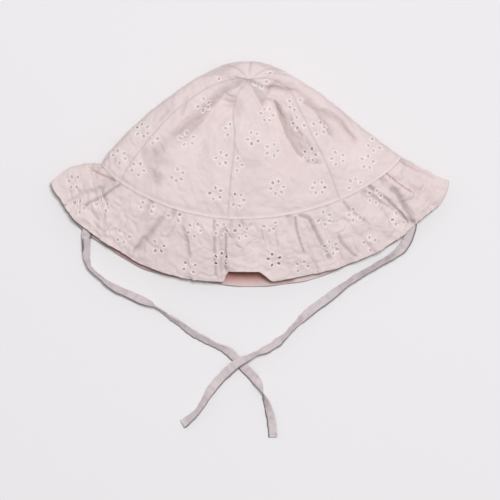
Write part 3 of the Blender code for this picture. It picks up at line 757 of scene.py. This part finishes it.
def brim_relief(turn, across, places, _):
    """How high the brim's cloth lies over its smooth form, its painted reddish bounce light and
    painted shade, and its stitches.
    """
    s = np.sin(np.radians(turn))
    front = ease(s / 0.25)
    depth, painted_red_bounce, shade = charted(BRIM_FOLDS, places)
    seam = crown_point(turn, np.ones(len(turn)))
    down = across * 0.048
    along_gathers = seam / 0.0042
    along_gathers[:, 2] += across * 1.5
    pulled = crumple(along_gathers, 1.0)
    wide = seam / 0.0095 + 7.0
    wide[:, 2] += across * 1.1
    waved = crumple(wide, 1.0)
    puckered = crumple(seam, 0.0030, 19.0)
    near_seam = np.exp(-down / 0.011)
    height = crinkles(places) * sizes().crinkle * 1.15 * (0.55 + 0.45 * front) - depth * front
    height = height + sizes().gather_height * (pulled * (0.3 + 1.1 * near_seam) + waved * 0.9)
    height = height + 0.00035 * puckered * ease((across - 0.90) / 0.1)
    sunk = 1 - ease(down / 0.0022)
    # painted shade in dark ticks between the gathers and in the sunk band under the seam
    ticks = ease((-pulled - 0.10) / 0.35) * near_seam * 0.45
    shade = np.maximum(np.maximum(shade * front, ticks), sunk * (0.25 + 0.5 * ease(-pulled * 2)))
    return height * (1 - sunk) - 0.00040 * sunk, painted_red_bounce * front, shade, np.zeros(len(turn))


def half_eyelet():
    """Half an eyelet's length and width."""
    return sizes().eyelet_length / 2, sizes().eyelet_width / 2


def eyelets(pattern, petals):
    """The eyelets that lie on a flat panel: their places and axes in metres."""
    h = 0.0004
    made = []
    for turn, along, way, vary in petals:
        if turn + 360 <= pattern.high:
            turn = turn + 360
        if not pattern.low <= turn <= pattern.high:
            continue
        at = np.array([turn]), np.array([along])
        centre = np.array(pattern.laid_flat(*at))[:, 0]
        steps = []
        for du, dv in ((h, 0), (0, h)):
            there = pattern.form(*pattern.on_form(centre[:1] + du, centre[1:] + dv))
            back = pattern.form(*pattern.on_form(centre[:1] - du, centre[1:] - dv))
            steps.append((there - back)[0, :2] / (2 * h))
        seen = np.array(steps).T
        if abs(np.linalg.det(seen)) < 0.25:
            continue
        turned = np.linalg.inv(seen)
        toward = turned @ (math.cos(way), math.sin(way))
        square = turned @ (-math.sin(way), math.cos(way))
        toward, square = (a * min(1, STRETCH_LIMIT / np.hypot(*a)) for a in (toward, square))
        around = np.linspace(0, 2 * math.pi, 13)[:, None]
        long, wide = (half * (1 + EYELET_VARIES) + RIM_WIDTH for half in half_eyelet())
        rim = centre + np.cos(around) * toward * long + np.sin(around) * square * wide
        first, last = pattern.ends(rim[:, 1])
        inside = np.minimum(rim[:, 0] - first, last - rim[:, 0]).min() > 0.0002
        inside = inside and rim[:, 1].min() > 0.0003 and rim[:, 1].max() < pattern.v[-1] - 0.0010
        if inside and all(np.hypot(*(centre - other[0])) > EYELET_SPACING for other in made):
            made.append((centre, toward, square, vary))
    return made


def cloth_of(place, faces, u, v, stitched=0, painted_red_bounce=0, shade=0, material=0, **more):
    """A piece of cloth: points, faces, places on the flat panel, and the values of every point."""
    values = {"stitched": stitched, "painted_red_bounce": painted_red_bounce, "shade": shade}
    cloth = {name: np.zeros(len(place)) + value for name, value in values.items()}
    cloth.update(place=place, faces=faces, u=u, v=v, materials=[material] * len(faces), **more)
    return cloth


def ringed(holes, start):
    """The flat points round the holes, the edges of the holes, and each point's hole and ring."""
    count = sizes().eyelet_sides
    angles = 2 * math.pi * np.arange(count) / count
    half_long, half_wide = half_eyelet()
    flat, edges, hole_of, ring_of = [], [], [], []
    for number, (centre, long_way, wide_way, vary) in enumerate(holes):
        size = 1 + EYELET_VARIES * math.sin(vary)
        for ring, (out, *_) in enumerate(RIM):
            turned = angles + (math.pi / count if ring % 2 else 0)
            flat.append(
                centre
                + np.outer(np.cos(turned) * (half_long * size + out), long_way)
                + np.outer(np.sin(turned) * (half_wide * size + out), wide_way)
            )
            if ring == 0:
                edges += [(start + i, start + (i + 1) % count) for i in range(count)]
            start += count
            hole_of += [number] * count
            ring_of += [ring] * count
    return flat, edges, hole_of, ring_of


def spread(pattern, border, step, holes):
    """Flat points spread evenly over a panel, clear of its border and its eyelets."""
    rows = max(2, round(pattern.v[-1] / (step * 0.87)))
    inside = []
    for k in range(1, rows):
        v = pattern.v[-1] * k / rows
        first, last = (float(end[0]) for end in pattern.ends(np.array([v])))
        number = int((last - first) / step)
        if number < 2:
            continue
        shift = 0.5 if k % 2 else 0.0
        u = first + (last - first) * (np.arange(1, number) + shift - 0.25) / (number + 0.0)
        inside.append(np.stack([u, np.full(len(u), v)], axis=1))
    inside = np.concatenate(inside)
    keep = np.ones(len(inside), bool)
    reach = [half * (1 + EYELET_VARIES) + RIM_WIDTH for half in half_eyelet()]
    for centre, *ways, _ in holes:
        axes = [
            way * (length + step * 0.45 / np.hypot(*way)) for way, length in zip(ways, reach)
        ]
        across = np.linalg.inv(np.array(axes).T)
        keep &= np.sum((across @ (inside - centre).T) ** 2, axis=0) > 1
    for point in border:
        keep &= np.sum((inside - point) ** 2, axis=1) > (step * 0.55) ** 2
    return inside[keep]


def panel(pattern, border, step, holes, relief, rim_end):
    """The outer cloth of a panel, laid out flat, meshed, put back on the form and crumpled.

    border is the panel's edge as turns and alongs in order. rim_end says which border points are
    sewn to the next piece.
    """
    count = sizes().eyelet_sides
    flat = [np.stack(pattern.laid_flat(border[:, 0], border[:, 1]), axis=1)]
    edges = [(i, (i + 1) % len(border)) for i in range(len(border))]
    rings, hole_edges, hole_of, ring_of = ringed(holes, len(border))
    inside = spread(pattern, flat[0], step, holes)
    flat = np.concatenate([*flat, *rings, inside])
    laid = delaunay_2d_cdt(
        [Vector(place) for place in flat / MM], edges + hole_edges, [], 1, 1e-6
    )
    origin = [ids[0] if ids else -1 for ids in laid[3]]
    if -1 in origin:
        raise RuntimeError("A panel's edge or two of its eyelets cross each other")
    index = np.array(origin)
    before, after = [-1] * len(border), [-1] * len(inside)
    hole_of = np.array(before + hole_of + after)[index]
    ring_of = np.array(before + ring_of + after)[index]
    u, v = flat[index].T
    faces = []
    for face in laid[2]:
        hole = hole_of[face[0]]
        if hole >= 0 and all(hole_of[i] == hole and ring_of[i] == 0 for i in face):
            continue
        faces.append(tuple(face))
    turn, along = pattern.on_form(u, v)
    on_border = index < len(border)
    turn[on_border], along[on_border] = border[index[on_border]].T
    base = pattern.form(turn, along)
    normal = outward(pattern.form, turn, along)
    sewn = on_border & rim_end[np.where(on_border, index, 0)]
    normal[sewn] = seam_outward(turn[sewn])
    first, last = pattern.ends(v)
    to_side = np.maximum(np.minimum(u - first, last - u), 0)
    height, painted_red_bounce, shade, sewn_pale = relief(turn, along, base, to_side)
    rim, rim_pale = (
        np.append(column(RIM_COLUMNS, RIM, name), 0)[ring_of] for name in ("height", "stitched")
    )
    height = height + rim * sizes().rim_height
    stitched = np.maximum(rim_pale, sewn_pale)
    place = base + normal * (WALL / 2 + height)[:, None]
    place[:, 2] = np.maximum(place[:, 2], 0.0)
    back = {int(i): k for k, i in enumerate(index)}
    turned_in = []
    for number in range(len(holes)):
        start = len(border) + number * count * len(RIM)
        loop = [back[start + i] for i in range(count)]
        first_end = len(place) + len(turned_in)
        for k in range(count):
            j = (k + 1) % count
            faces.append((loop[k], loop[j], first_end + j, first_end + k))
        turned_in += loop
    place = np.concatenate([place, place[turned_in] - normal[turned_in] * HOLE_WALL])
    whole = np.append(np.arange(len(u)), turned_in).astype(int)
    stitched = np.append(stitched, np.full(len(turned_in), 0.6))
    # the turned-in walls of the holes get painted shade
    shade = np.append(shade, np.maximum(shade[turned_in], 0.25))
    return cloth_of(
        place, faces, u[whole], v[whole], stitched, painted_red_bounce[whole], shade,
        normal=normal[whole], edge=[back[i] for i in range(len(border))],
    )


def joined(parts):
    """Several sheets of points and faces in one."""
    whole = {"faces": [], "materials": []}
    before = 0
    for part in parts:
        whole["faces"] += [tuple(i + before for i in face) for face in part["faces"]]
        whole["materials"] += part["materials"]
        before += len(part["place"])
    for name in ("place", "u", "v", "stitched", "painted_red_bounce", "shade"):
        whole[name] = np.concatenate([part[name] for part in parts])
    return whole


def cloth_object(name, cloth, materials):
    """The object of finished cloth, with its own UV map and attributes."""
    mesh = bpy.data.meshes.new(name)
    mesh.from_pydata([tuple(place) for place in cloth["place"]], [], cloth["faces"])
    mesh.validate()
    corner = np.zeros(len(mesh.loops), np.int32)
    mesh.loops.foreach_get("vertex_index", corner)
    uv = mesh.uv_layers.new(name="cloth")
    flat = np.stack([cloth["u"][corner], cloth["v"][corner]], axis=1) * 10
    uv.data.foreach_set("uv", flat.astype(np.float32).ravel())
    for attribute in ("stitched", "painted_red_bounce", "shade"):
        layer = mesh.attributes.new(attribute, "FLOAT", "POINT")
        layer.data.foreach_set("value", cloth[attribute].astype(np.float32))
    for material in materials:
        mesh.materials.append(material)
    mesh.polygons.foreach_set("material_index", np.array(cloth["materials"], np.int32))
    mesh.shade_smooth()
    mesh.update()
    made = bpy.data.objects.new(name, mesh)
    bpy.context.scene.collection.objects.link(made)
    return made


def border_of(low, high, first, sides, ends):
    """A panel's edge in order: down its left side, along its lower edge, up its right side."""
    alongs = np.linspace(first, 1, sides)
    turns = np.linspace(low, high, ends)
    down = np.stack([np.full(sides, float(low)), alongs], axis=1)
    bottom = np.stack([turns, np.ones(ends)], axis=1)[1:-1]
    up = np.stack([np.full(sides, float(high)), alongs], axis=1)[::-1]
    return down, bottom, up


def painted_lining_bounce(places):
    """The reddish bounce light and shade painted on the lining: in random patches, under the brim's
    raised middle next to the front hem's edge, and at its left edge.
    """
    patches = 0.5 * ease((crumple(places, 0.010, 71.0) - 0.34) / 0.12)
    x, y = places[:, 0], places[:, 1]
    # painted shade and reddish bounce light, strongest next to the front hem's raised edge
    raised = 0.16 + 0.74 * ease((y + 0.0835) / 0.007)
    raised = raised * ease((0.034 - np.abs(x - 0.002)) / 0.006)
    at_edge = ease((-0.034 - x) / 0.02) * 0.5
    on_brim = ease((-0.052 - y) / 0.004)
    return np.maximum(patches * (1 - on_brim), on_brim * np.maximum(raised, at_edge))


def lining(pattern, turns, alongs, relief):
    """The plain cloth close under a panel, as a grid that faces inwards."""
    turn, along = np.meshgrid(turns, alongs)
    base = pattern.form(turn, along)
    normal = outward(pattern.form, turn, along)
    flat = base.reshape(-1, 3)
    height = relief(turn.ravel(), along.ravel(), flat, np.full(turn.size, 1.0))[0]
    place = base + normal * (WALL / 2 - LINING_GAP + height.reshape(turn.shape))[..., None]
    place[..., 2] = np.maximum(place[..., 2], LINING_GAP)
    rows, columns = turn.shape
    number = np.arange(rows * columns).reshape(rows, columns)
    quads = np.stack([number[:-1, :-1], number[1:, :-1], number[1:, 1:], number[:-1, 1:]], axis=-1)
    u, v = pattern.laid_flat(turn.ravel(), along.ravel())
    return cloth_of(
        place.reshape(-1, 3), [tuple(quad) for quad in quads.reshape(-1, 4).tolist()], u, v,
        painted_red_bounce=painted_lining_bounce(flat), material=1, grid=number,
    )


def sewn_wall(cloth, edge, drop):
    """Turns a panel's edge down into its seam."""
    place = cloth["place"][edge] - cloth["normal"][edge] * drop
    place[:, 2] = np.maximum(place[:, 2], 0.0)
    faces = [(k, k + 1, k + 1 + len(edge), k + len(edge)) for k in range(len(edge) - 1)]
    u, v, painted_red_bounce, shade = (np.tile(cloth[name][edge], 2) for name in ("u", "v", "painted_red_bounce", "shade"))
    place = np.concatenate([cloth["place"][edge], place])
    return cloth_of(place, faces, u, v, painted_red_bounce=painted_red_bounce, shade=shade)


def petals_on(form, flowers, seed):
    """Every petal's turn, along, direction and variation, mirrored for the back."""
    made = []
    for low, high, mirror, shift in ((1, 179, 1, 0), (181, 359, -0.97, 3)):
        places, ways, vary = [], [], []
        for number, (x, y) in enumerate(flowers):
            count = PETALS[(number + shift) % len(PETALS)]
            for k in range(count):
                way = math.radians(37.0 * number + seed) + 2 * math.pi * k / count
                way += 0.10 * math.sin(7.1 * number + 2.3 * k)
                reach = sizes().flower_radius * (1 + 0.06 * math.sin(3.7 * number + 5.9 * k))
                places.append(
                    (x * mirror * MM + reach * math.cos(way), y * MM + reach * math.sin(way))
                )
                ways.append(way)
                vary.append(5.1 * number + 1.7 * k)
        turn, along = found_on(form, np.array(places), low, high)
        off = np.linalg.norm(form(turn, along)[:, :2] - places, axis=1)
        made += [petal for petal, away in zip(zip(turn, along, ways, vary), off) if away < 0.0015]
    return made


# Materials


def node(tree, kind, **values):
    """A node with its values set by name."""
    made = tree.nodes.new(kind)
    for name, value in values.items():
        if name in made.inputs:
            made.inputs[name].default_value = value
        else:
            setattr(made, name, value)
    return made


def mixed(tree, attribute, first, second):
    """The colour first, turned into the colour second where the attribute is 1."""
    share = node(tree, "ShaderNodeAttribute", attribute_name=attribute)
    mix = node(tree, "ShaderNodeMixRGB")
    mix.inputs["Color2"].default_value = second
    tree.links.new(share.outputs["Fac"], mix.inputs["Fac"])
    tree.links.new(first, mix.inputs["Color1"])
    return mix.outputs["Color"]


def cotton(name, colour, thread, weave, crease=0.5, deep=0.46):
    """Woven cotton: crossing threads, a faint slub, soft creases, paler stitched rims, and painted
    reddish bounce light and painted shade from the cloth's attributes.
    """
    material = bpy.data.materials.new(name)
    material.use_nodes = True
    tree = material.node_tree
    link = tree.links.new
    shader = tree.nodes["Principled BSDF"]
    shader.inputs["Metallic"].default_value = 0.0
    shader.inputs["Specular IOR Level"].default_value = 0.25
    shader.inputs["Sheen Weight"].default_value = 0.12
    shader.inputs["Sheen Roughness"].default_value = 0.45
    place = node(tree, "ShaderNodeTexCoord")
    flat = node(tree, "ShaderNodeUVMap", uv_map="cloth")
    blotch = node(tree, "ShaderNodeTexNoise", Scale=42.0, Detail=4.0, Roughness=0.6)
    link(place.outputs["Object"], blotch.inputs["Vector"])
    tone = node(tree, "ShaderNodeValToRGB")
    tone.color_ramp.elements[0].position = 0.30
    tone.color_ramp.elements[1].position = 0.70
    dark = [max(0.0, c * f) for c, f in zip(colour[:3], (0.955, 0.930, 0.940))]
    light = [min(1.0, c * f) for c, f in zip(colour[:3], (1.03, 1.03, 1.03))]
    tone.color_ramp.elements[0].color = (*dark, 1)
    tone.color_ramp.elements[1].color = (*light, 1)
    link(blotch.outputs["Fac"], tone.inputs["Fac"])
    # painted reddish bounce light, then painted shade that darkens the colour towards the colour
    # times deep
    with_red_bounce = mixed(tree, "painted_red_bounce", tone.outputs["Color"], RED_BOUNCE_LIGHT)
    shaded = mixed(tree, "shade", with_red_bounce, (*[c * deep for c in colour[:3]], 1))
    rims = mixed(tree, "stitched", shaded, thread)
    link(rims, shader.inputs["Base Color"])
    # one thread is weave across, and the flat panel is mapped at ten to the metre
    threads = []
    for way in ("X", "Y"):
        wave = node(
            tree, "ShaderNodeTexWave", bands_direction=way, Scale=0.314 / (weave * 10),
            Distortion=0.6, Detail=1.0,
        )
        wave.inputs["Detail Scale"].default_value = 0.4
        link(flat.outputs["UV"], wave.inputs["Vector"])
        threads.append(wave)
    woven = node(tree, "ShaderNodeMath", operation="MULTIPLY")
    link(threads[0].outputs["Fac"], woven.inputs[0])
    link(threads[1].outputs["Fac"], woven.inputs[1])
    slub = node(tree, "ShaderNodeTexNoise", Scale=150.0, Detail=6.0, Roughness=0.68)
    link(place.outputs["Object"], slub.inputs["Vector"])
    uneven = node(tree, "ShaderNodeMapRange")
    uneven.inputs["To Min"].default_value = 0.78
    uneven.inputs["To Max"].default_value = 0.95
    link(slub.outputs["Fac"], uneven.inputs["Value"])
    link(uneven.outputs["Result"], shader.inputs["Roughness"])
    crumpled = node(tree, "ShaderNodeBump", Strength=crease, Distance=0.0012)
    link(slub.outputs["Fac"], crumpled.inputs["Height"])
    woven_bump = node(tree, "ShaderNodeBump", Strength=0.35, Distance=0.0001)
    link(woven.outputs["Value"], woven_bump.inputs["Height"])
    link(crumpled.outputs["Normal"], woven_bump.inputs["Normal"])
    link(woven_bump.outputs["Normal"], shader.inputs["Normal"])
    return material


def needed(name, make):
    """A material that several pieces share, made once."""
    return bpy.data.materials.get(name) or make()


def embroidered():
    """The outer cotton."""
    look = colours()
    return needed(
        "embroidered", lambda: cotton("embroidered", look.cotton, look.thread, sizes().weave)
    )


def plain_lining():
    """The lining's cotton."""
    look = colours()
    return needed(
        "plain_lining", lambda: cotton("plain_lining", look.lining, look.lining, sizes().weave, 0.3)
    )


# The pieces


class HAT_OT_camera(bpy.types.Operator):
    """Puts the camera straight above the hat, as in the photograph"""

    bl_idname = "sun_hat.camera"
    bl_label = "Camera"

    def execute(self, context):
        bpy.ops.object.camera_add(location=CAMERA_PLACE, rotation=(0, 0, 0))
        camera = context.object
        camera.name = "camera_above"
        camera.data.sensor_width = 36
        camera.data.lens = 36 * CAMERA_PLACE[2] / VIEW_WIDTH
        camera.data.clip_end = 20
        context.scene.camera = camera
        return {"FINISHED"}


def tie_line(route):
    """A tie's centreline and roll at even steps, resting on its lower edge as its solid does."""
    places = np.stack([column(TIE_COLUMNS, route, "x"), column(TIE_COLUMNS, route, "y")], axis=1)
    run = np.concatenate([[0], np.cumsum(np.linalg.norm(np.diff(places, axis=0), axis=1))])
    at = np.linspace(0, run[-1], round(run[-1] / 0.0010) + 1)
    x, y, lift, roll = (
        through(run, column(TIE_COLUMNS, route, name), at) for name in TIE_COLUMNS
    )
    roll = np.radians(roll)
    angles = -2 * math.pi * np.arange(8) / 8
    wide = TIE_WIDTH / 2 * np.sign(np.cos(angles)) * np.abs(np.cos(angles)) ** 0.5
    thick = TIE_WALL / 2 * np.sign(np.sin(angles)) * np.abs(np.sin(angles)) ** 0.5
    below = (np.outer(np.sin(roll), wide) + np.outer(np.cos(roll), thick)).max(axis=1)
    return np.stack([x, y, lift + below], axis=1), roll, at


def tie_section(count):
    """The section of a folded strip: rounded edges, a sewn edge with a ridge, and a hollow."""
    angle = -2 * math.pi * np.arange(count) / count
    wide = TIE_WIDTH / 2 * 0.97 * np.sign(np.cos(angle)) * np.abs(np.cos(angle)) ** 0.62
    thick = np.sign(np.sin(angle)) * np.abs(np.sin(angle)) ** 0.5
    share = wide / (TIE_WIDTH / 2)
    sewn_edge = 0.30 * np.exp(-(((share - 0.80) / 0.16) ** 2))
    hollow = 0.16 * np.exp(-(((share - 0.52) / 0.10) ** 2))
    body = 0.58 + sewn_edge - hollow
    return wide, thick * body * TIE_WALL / 2, share


def tie(name, route, seed):
    """A flat tie that rolls and puckers along its line, with its ends sewn shut."""
    line, roll, at = tie_line(route)
    count = TIE_SIDES
    wide, thick, share = tie_section(count)
    forward = np.gradient(line, axis=0)
    forward /= np.linalg.norm(forward, axis=1, keepdims=True)
    side = np.cross(forward, (0, 0, 1))
    side /= np.linalg.norm(side, axis=1, keepdims=True)
    up = np.cross(side, forward)
    over = side * np.cos(roll)[:, None] + up * np.sin(roll)[:, None]
    thin = -side * np.sin(roll)[:, None] + up * np.cos(roll)[:, None]
    ring_at = np.repeat(at[:, None], count, axis=1)
    faced = np.sign(thick) * np.full_like(ring_at, 0.02)
    places = np.stack([ring_at, np.tile(wide, (len(at), 1)), faced], axis=-1)
    flat = places.reshape(-1, 3) + seed
    puckers = 0.00050 * crumple(flat, 0.0034, 5.0) + 0.00045 * crumple(flat, 0.0085, 9.0)
    puckers = puckers.reshape(ring_at.shape)
    pinch = 0.95 + 0.13 * crumple(flat * (1, 0, 0), 0.0065, 2.0).reshape(ring_at.shape)
    pinch = pinch * (0.72 + 0.28 * ease((ring_at - 0.012) / 0.020))
    beside = np.exp(-(((share - 0.62) / 0.10) ** 2))
    stitch = TIE_STITCH_HEIGHT * np.cos(2 * math.pi * ring_at / TIE_STITCH) * beside
    body = thick + np.sign(thick) * (puckers + stitch) * (np.abs(thick) > 1e-6)
    place = (
        line[:, None] + over[:, None] * (wide * pinch)[..., None] + thin[:, None] * body[..., None]
    )
    place[..., 2] = np.maximum(place[..., 2], 0.0)
    rows = len(at)
    number = np.arange(rows * count).reshape(rows, count)
    faces = []
    for i in range(rows - 1):
        for j in range(count):
            k = (j + 1) % count
            faces.append((number[i, j], number[i, k], number[i + 1, k], number[i + 1, j]))
    points = place.reshape(-1, 3)
    u = np.tile(wide + np.sign(thick) * 0.01, (rows, 1)).ravel()
    v = ring_at.ravel()
    # painted shadow along the tie's lower edge and painted shade in random cross folds
    below = line[:, None, 1] - place[..., 1]
    below = below / below.max(axis=1, keepdims=True)
    folds = ease(crumple(flat * (1, 0.35, 1), 0.0026, 15.0) / 0.5).reshape(ring_at.shape)
    shade = np.maximum(0.95 * ease((below - 0.62) / 0.25), 0.16 * folds).ravel()
    for row, way in ((0, 1), (rows - 1, -1)):
        inner = place[row] * 0.7 + line[row] * 0.3 - way * forward[row] * 0.0004
        first = len(points)
        points = np.concatenate([points, inner, [inner.mean(axis=0)]])
        u = np.concatenate([u, u[number[row]], [0]])
        v = np.concatenate([v, v[number[row]], [v[number[row][0]]]])
        # painted shade on the sewn ends
        shade = np.concatenate([shade, np.full(count + 1, 0.2)])
        for j in range(count):
            k = (j + 1) % count
            quad = (number[row, j], first + j, first + k, number[row, k])
            fan = (first + j, first + count, first + k)
            faces += [quad, fan] if way > 0 else [quad[::-1], fan[::-1]]
    faces = [tuple(int(i) for i in face) for face in faces]
    cloth = cloth_of(points, faces, u, v, shade=shade)
    look = colours()
    material = needed(
        "tie_strips", lambda: cotton("tie_strips", look.ties, look.thread, sizes().weave, 0.7, 0.26)
    )
    made = cloth_object(name + "_strip", cloth, [material])
    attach(made, "root")
    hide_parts(name)
    return made


class HAT_OT_ties(bpy.types.Operator):
    """Makes the two flat ties, lying on the table and crossing"""

    bl_idname = "sun_hat.ties"
    bl_label = "Ties"

    def execute(self, context):
        tie("tie_left", LEFT_TIE, 0.0)
        tie("tie_right", RIGHT_TIE, 3.0)
        return {"FINISHED"}


def crown_panel(name, low, high, flowers):
    """One gore of the crown in embroidered cotton, with its lining."""
    step = sizes().cloth_step
    behind = name.startswith("crown_back")
    step = step * CROWN_BACK_STEP_SHARE if behind else step
    pattern = FlatPattern(crown_point, low, high)
    sides = round(pattern.v[-1] / step)
    ends = round((pattern.u[-1, -1] - pattern.u[-1, 0]) / step)
    down, bottom, up = border_of(low, high, 0.0, sides, ends)
    border = np.concatenate([down, bottom, up[:-1]])
    sewn = border[:, 1] > 0.999999
    holes = eyelets(pattern, flowers)
    cloth = panel(pattern, border, step, holes, crown_relief, sewn)
    edge = cloth["edge"]
    left, right = edge[:sides], edge[sides + len(bottom) :] + [edge[0]]
    lower = edge[sides - 1 : sides + len(bottom) + 1]
    walls = [sewn_wall(cloth, lower, FOLDED_IN)]
    walls += [sewn_wall(cloth, side, SEAM_TURNED_IN) for side in (left, right)]
    inside = lining(
        pattern, np.linspace(low, high, max(8, ends // 2)), np.linspace(0.004, 1, 90), crown_relief
    )
    made = cloth_object(
        name + "_cloth", joined([cloth, *walls, inside]), [embroidered(), plain_lining()]
    )
    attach(made, "root")
    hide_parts(name)
    return made


class HAT_OT_crown(bpy.types.Operator):
    """Makes the six embroidered gores of the crown with their lining"""

    bl_idname = "sun_hat.crown"
    bl_label = "Crown"

    def execute(self, context):
        flowers = petals_on(crown_point, CROWN_FLOWERS, 20)
        for name, low, high in GORES:
            crown_panel(name, low, high, flowers)
        return {"FINISHED"}


def hem(outer, outer_edge, inner, inner_edge, away):
    """Turns the brim's edge from the outer cloth round to the lining."""
    top, under = outer["place"][outer_edge], inner["place"][inner_edge]
    centre, half = (top + under) / 2, (top - under) / 2
    thick = np.linalg.norm(half, axis=1, keepdims=True)
    rows = [top]
    for angle in (35, 70, 110, 145):
        a = math.radians(angle)
        rows.append(centre + half * math.cos(a) + away * thick * math.sin(a))
    rows.append(under)
    places = np.concatenate(rows)
    places[:, 2] = np.maximum(places[:, 2], 0.0)
    width = len(outer_edge)
    faces = []
    for i in range(5):
        for k in range(width - 1):
            a = i * width + k
            faces.append((a, a + 1, a + width + 1, a + width))
    u = np.tile(outer["u"][outer_edge], 6)
    v = np.concatenate([outer["v"][outer_edge] + 0.0006 * i for i in range(6)])
    # painted reddish bounce light and painted shade, growing round the hem towards its underside
    painted_red_bounce = np.repeat([0, 0, 0.05, 0.2, 0.4, 0.5], width)
    shade = np.repeat([0, 0.35, 0.75, 0.9, 0.9, 0.6], width)
    return cloth_of(places, faces, u, v, painted_red_bounce=painted_red_bounce, shade=shade)


def brim_half(low, high, flowers, step, sides):
    """The front or back half of the brim: embroidered cloth, hem and lining."""
    pattern = FlatPattern(brim_point, low, high)
    ends = round((pattern.u[-1, -1] - pattern.u[-1, 0]) / step)
    down, bottom, up = border_of(low, high, 0.0, sides, ends)
    top_turns = np.linspace(high, low, ends)[1:-1]
    top = np.stack([top_turns, np.zeros(len(top_turns))], axis=1)
    border = np.concatenate([down, bottom, up, top])
    sewn = border[:, 1] < 1e-6
    holes = eyelets(pattern, flowers)
    cloth = panel(pattern, border, step, holes, brim_relief, sewn)
    edge = cloth["edge"]
    hem_edge = edge[sides - 1 : sides + len(bottom) + 1]
    turns = np.linspace(low, high, ends)
    inside = lining(pattern, turns, np.linspace(0, 1, 32), brim_relief)
    last = inside["grid"][-1]
    away = brim_point(turns, np.ones(ends)) - brim_point(turns, np.full(ends, 0.97))
    away /= np.linalg.norm(away, axis=1, keepdims=True)
    turned = hem(cloth, hem_edge, inside, last, away)
    return [cloth, turned, inside]


class HAT_OT_brim(bpy.types.Operator):
    """Makes the gathered brim: embroidered cotton, turned hem and lining"""

    bl_idname = "sun_hat.brim"
    bl_label = "Brim"

    def execute(self, context):
        flowers = petals_on(brim_point, BRIM_FLOWERS, 55)
        step = sizes().cloth_step * BRIM_STEP_SHARE
        sides = round(0.045 / step)
        parts = brim_half(0, 180, flowers, step, sides)
        parts += brim_half(180, 360, flowers, step * BRIM_BACK_STEP_SHARE, sides)
        made = cloth_object("brim_cloth", joined(parts), [embroidered(), plain_lining()])
        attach(made, "root")
        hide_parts("brim")
        return {"FINISHED"}


class HAT_OT_stage(bpy.types.Operator):
    """Makes the pale floor and the soft light"""

    bl_idname = "sun_hat.stage"
    bl_label = "Stage"

    def execute(self, context):
        bpy.ops.object.select_all(action="DESELECT")
        bpy.ops.mesh.primitive_plane_add(size=6.0, location=(0, 0, -0.0002))
        floor = context.object
        floor.name = "floor"
        bpy.ops.object.transform_apply(location=True, rotation=False, scale=False)
        material = bpy.data.materials.new("pale_floor")
        material.use_nodes = True
        tree = material.node_tree
        shader = tree.nodes["Principled BSDF"]
        shader.inputs["Roughness"].default_value = 0.9
        shader.inputs["Specular IOR Level"].default_value = 0.1
        place = node(tree, "ShaderNodeTexCoord")
        grain = node(tree, "ShaderNodeTexNoise", Scale=2.0, Detail=2.0)
        tree.links.new(place.outputs["Object"], grain.inputs["Vector"])
        tone = node(tree, "ShaderNodeValToRGB")
        base = colours().floor
        tone.color_ramp.elements[0].color = (*[c * 0.99 for c in base[:3]], 1)
        tone.color_ramp.elements[1].color = (*base[:3], 1)
        tree.links.new(grain.outputs["Fac"], tone.inputs["Fac"])
        tree.links.new(tone.outputs["Color"], shader.inputs["Base Color"])
        floor.data.materials.append(material)
        bpy.ops.object.light_add(type="AREA", location=KEY_PLACE)
        light = context.object
        light.name = "key_light"
        light.data.shape = "DISK"
        light.data.size = KEY_SIZE
        light.data.energy = KEY_POWER
        light.data.color = KEY_COLOUR
        aim = Vector(KEY_AIM) - Vector(KEY_PLACE)
        light.rotation_euler = aim.to_track_quat("-Z", "Y").to_euler()
        world = bpy.data.worlds.new("soft_room")
        world.use_nodes = True
        sky = world.node_tree.nodes["Background"]
        sky.inputs["Color"].default_value = SKY_COLOUR
        sky.inputs["Strength"].default_value = SKY_STRENGTH
        context.scene.world = world
        context.scene.view_settings.view_transform = "Standard"
        return {"FINISHED"}


class HAT_PT_panel(bpy.types.Panel):
    """Lists the hat's pieces and sizes"""

    bl_label = "Sun hat"
    bl_idname = "HAT_PT_panel"
    bl_space_type = "VIEW_3D"
    bl_region_type = "UI"
    bl_category = "Sun hat"

    def draw(self, context):
        for kind in PIECES:
            self.layout.operator(kind.bl_idname)
        for group in (context.scene.sun_hat_sizes, context.scene.sun_hat_colours):
            for name in group.__annotations__:
                self.layout.prop(group, name)


PIECES = (HAT_OT_camera, HAT_OT_ties, HAT_OT_stage, HAT_OT_crown, HAT_OT_brim)
CLASSES = (HatSizes, HatColours, *PIECES, HAT_PT_panel)


def register():
    for kind in CLASSES:
        bpy.utils.register_class(kind)
    bpy.types.Scene.sun_hat_sizes = PointerProperty(type=HatSizes)
    bpy.types.Scene.sun_hat_colours = PointerProperty(type=HatColours)


def unregister():
    del bpy.types.Scene.sun_hat_sizes
    del bpy.types.Scene.sun_hat_colours
    for kind in reversed(CLASSES):
        bpy.utils.unregister_class(kind)


def main():
    register()
    bpy.ops.sun_hat.camera()
    bpy.ops.sun_hat.ties()
    bpy.ops.sun_hat.stage()
    bpy.ops.sun_hat.crown()
    bpy.ops.sun_hat.brim()
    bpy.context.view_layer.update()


if __name__ == "__main__":
    main()
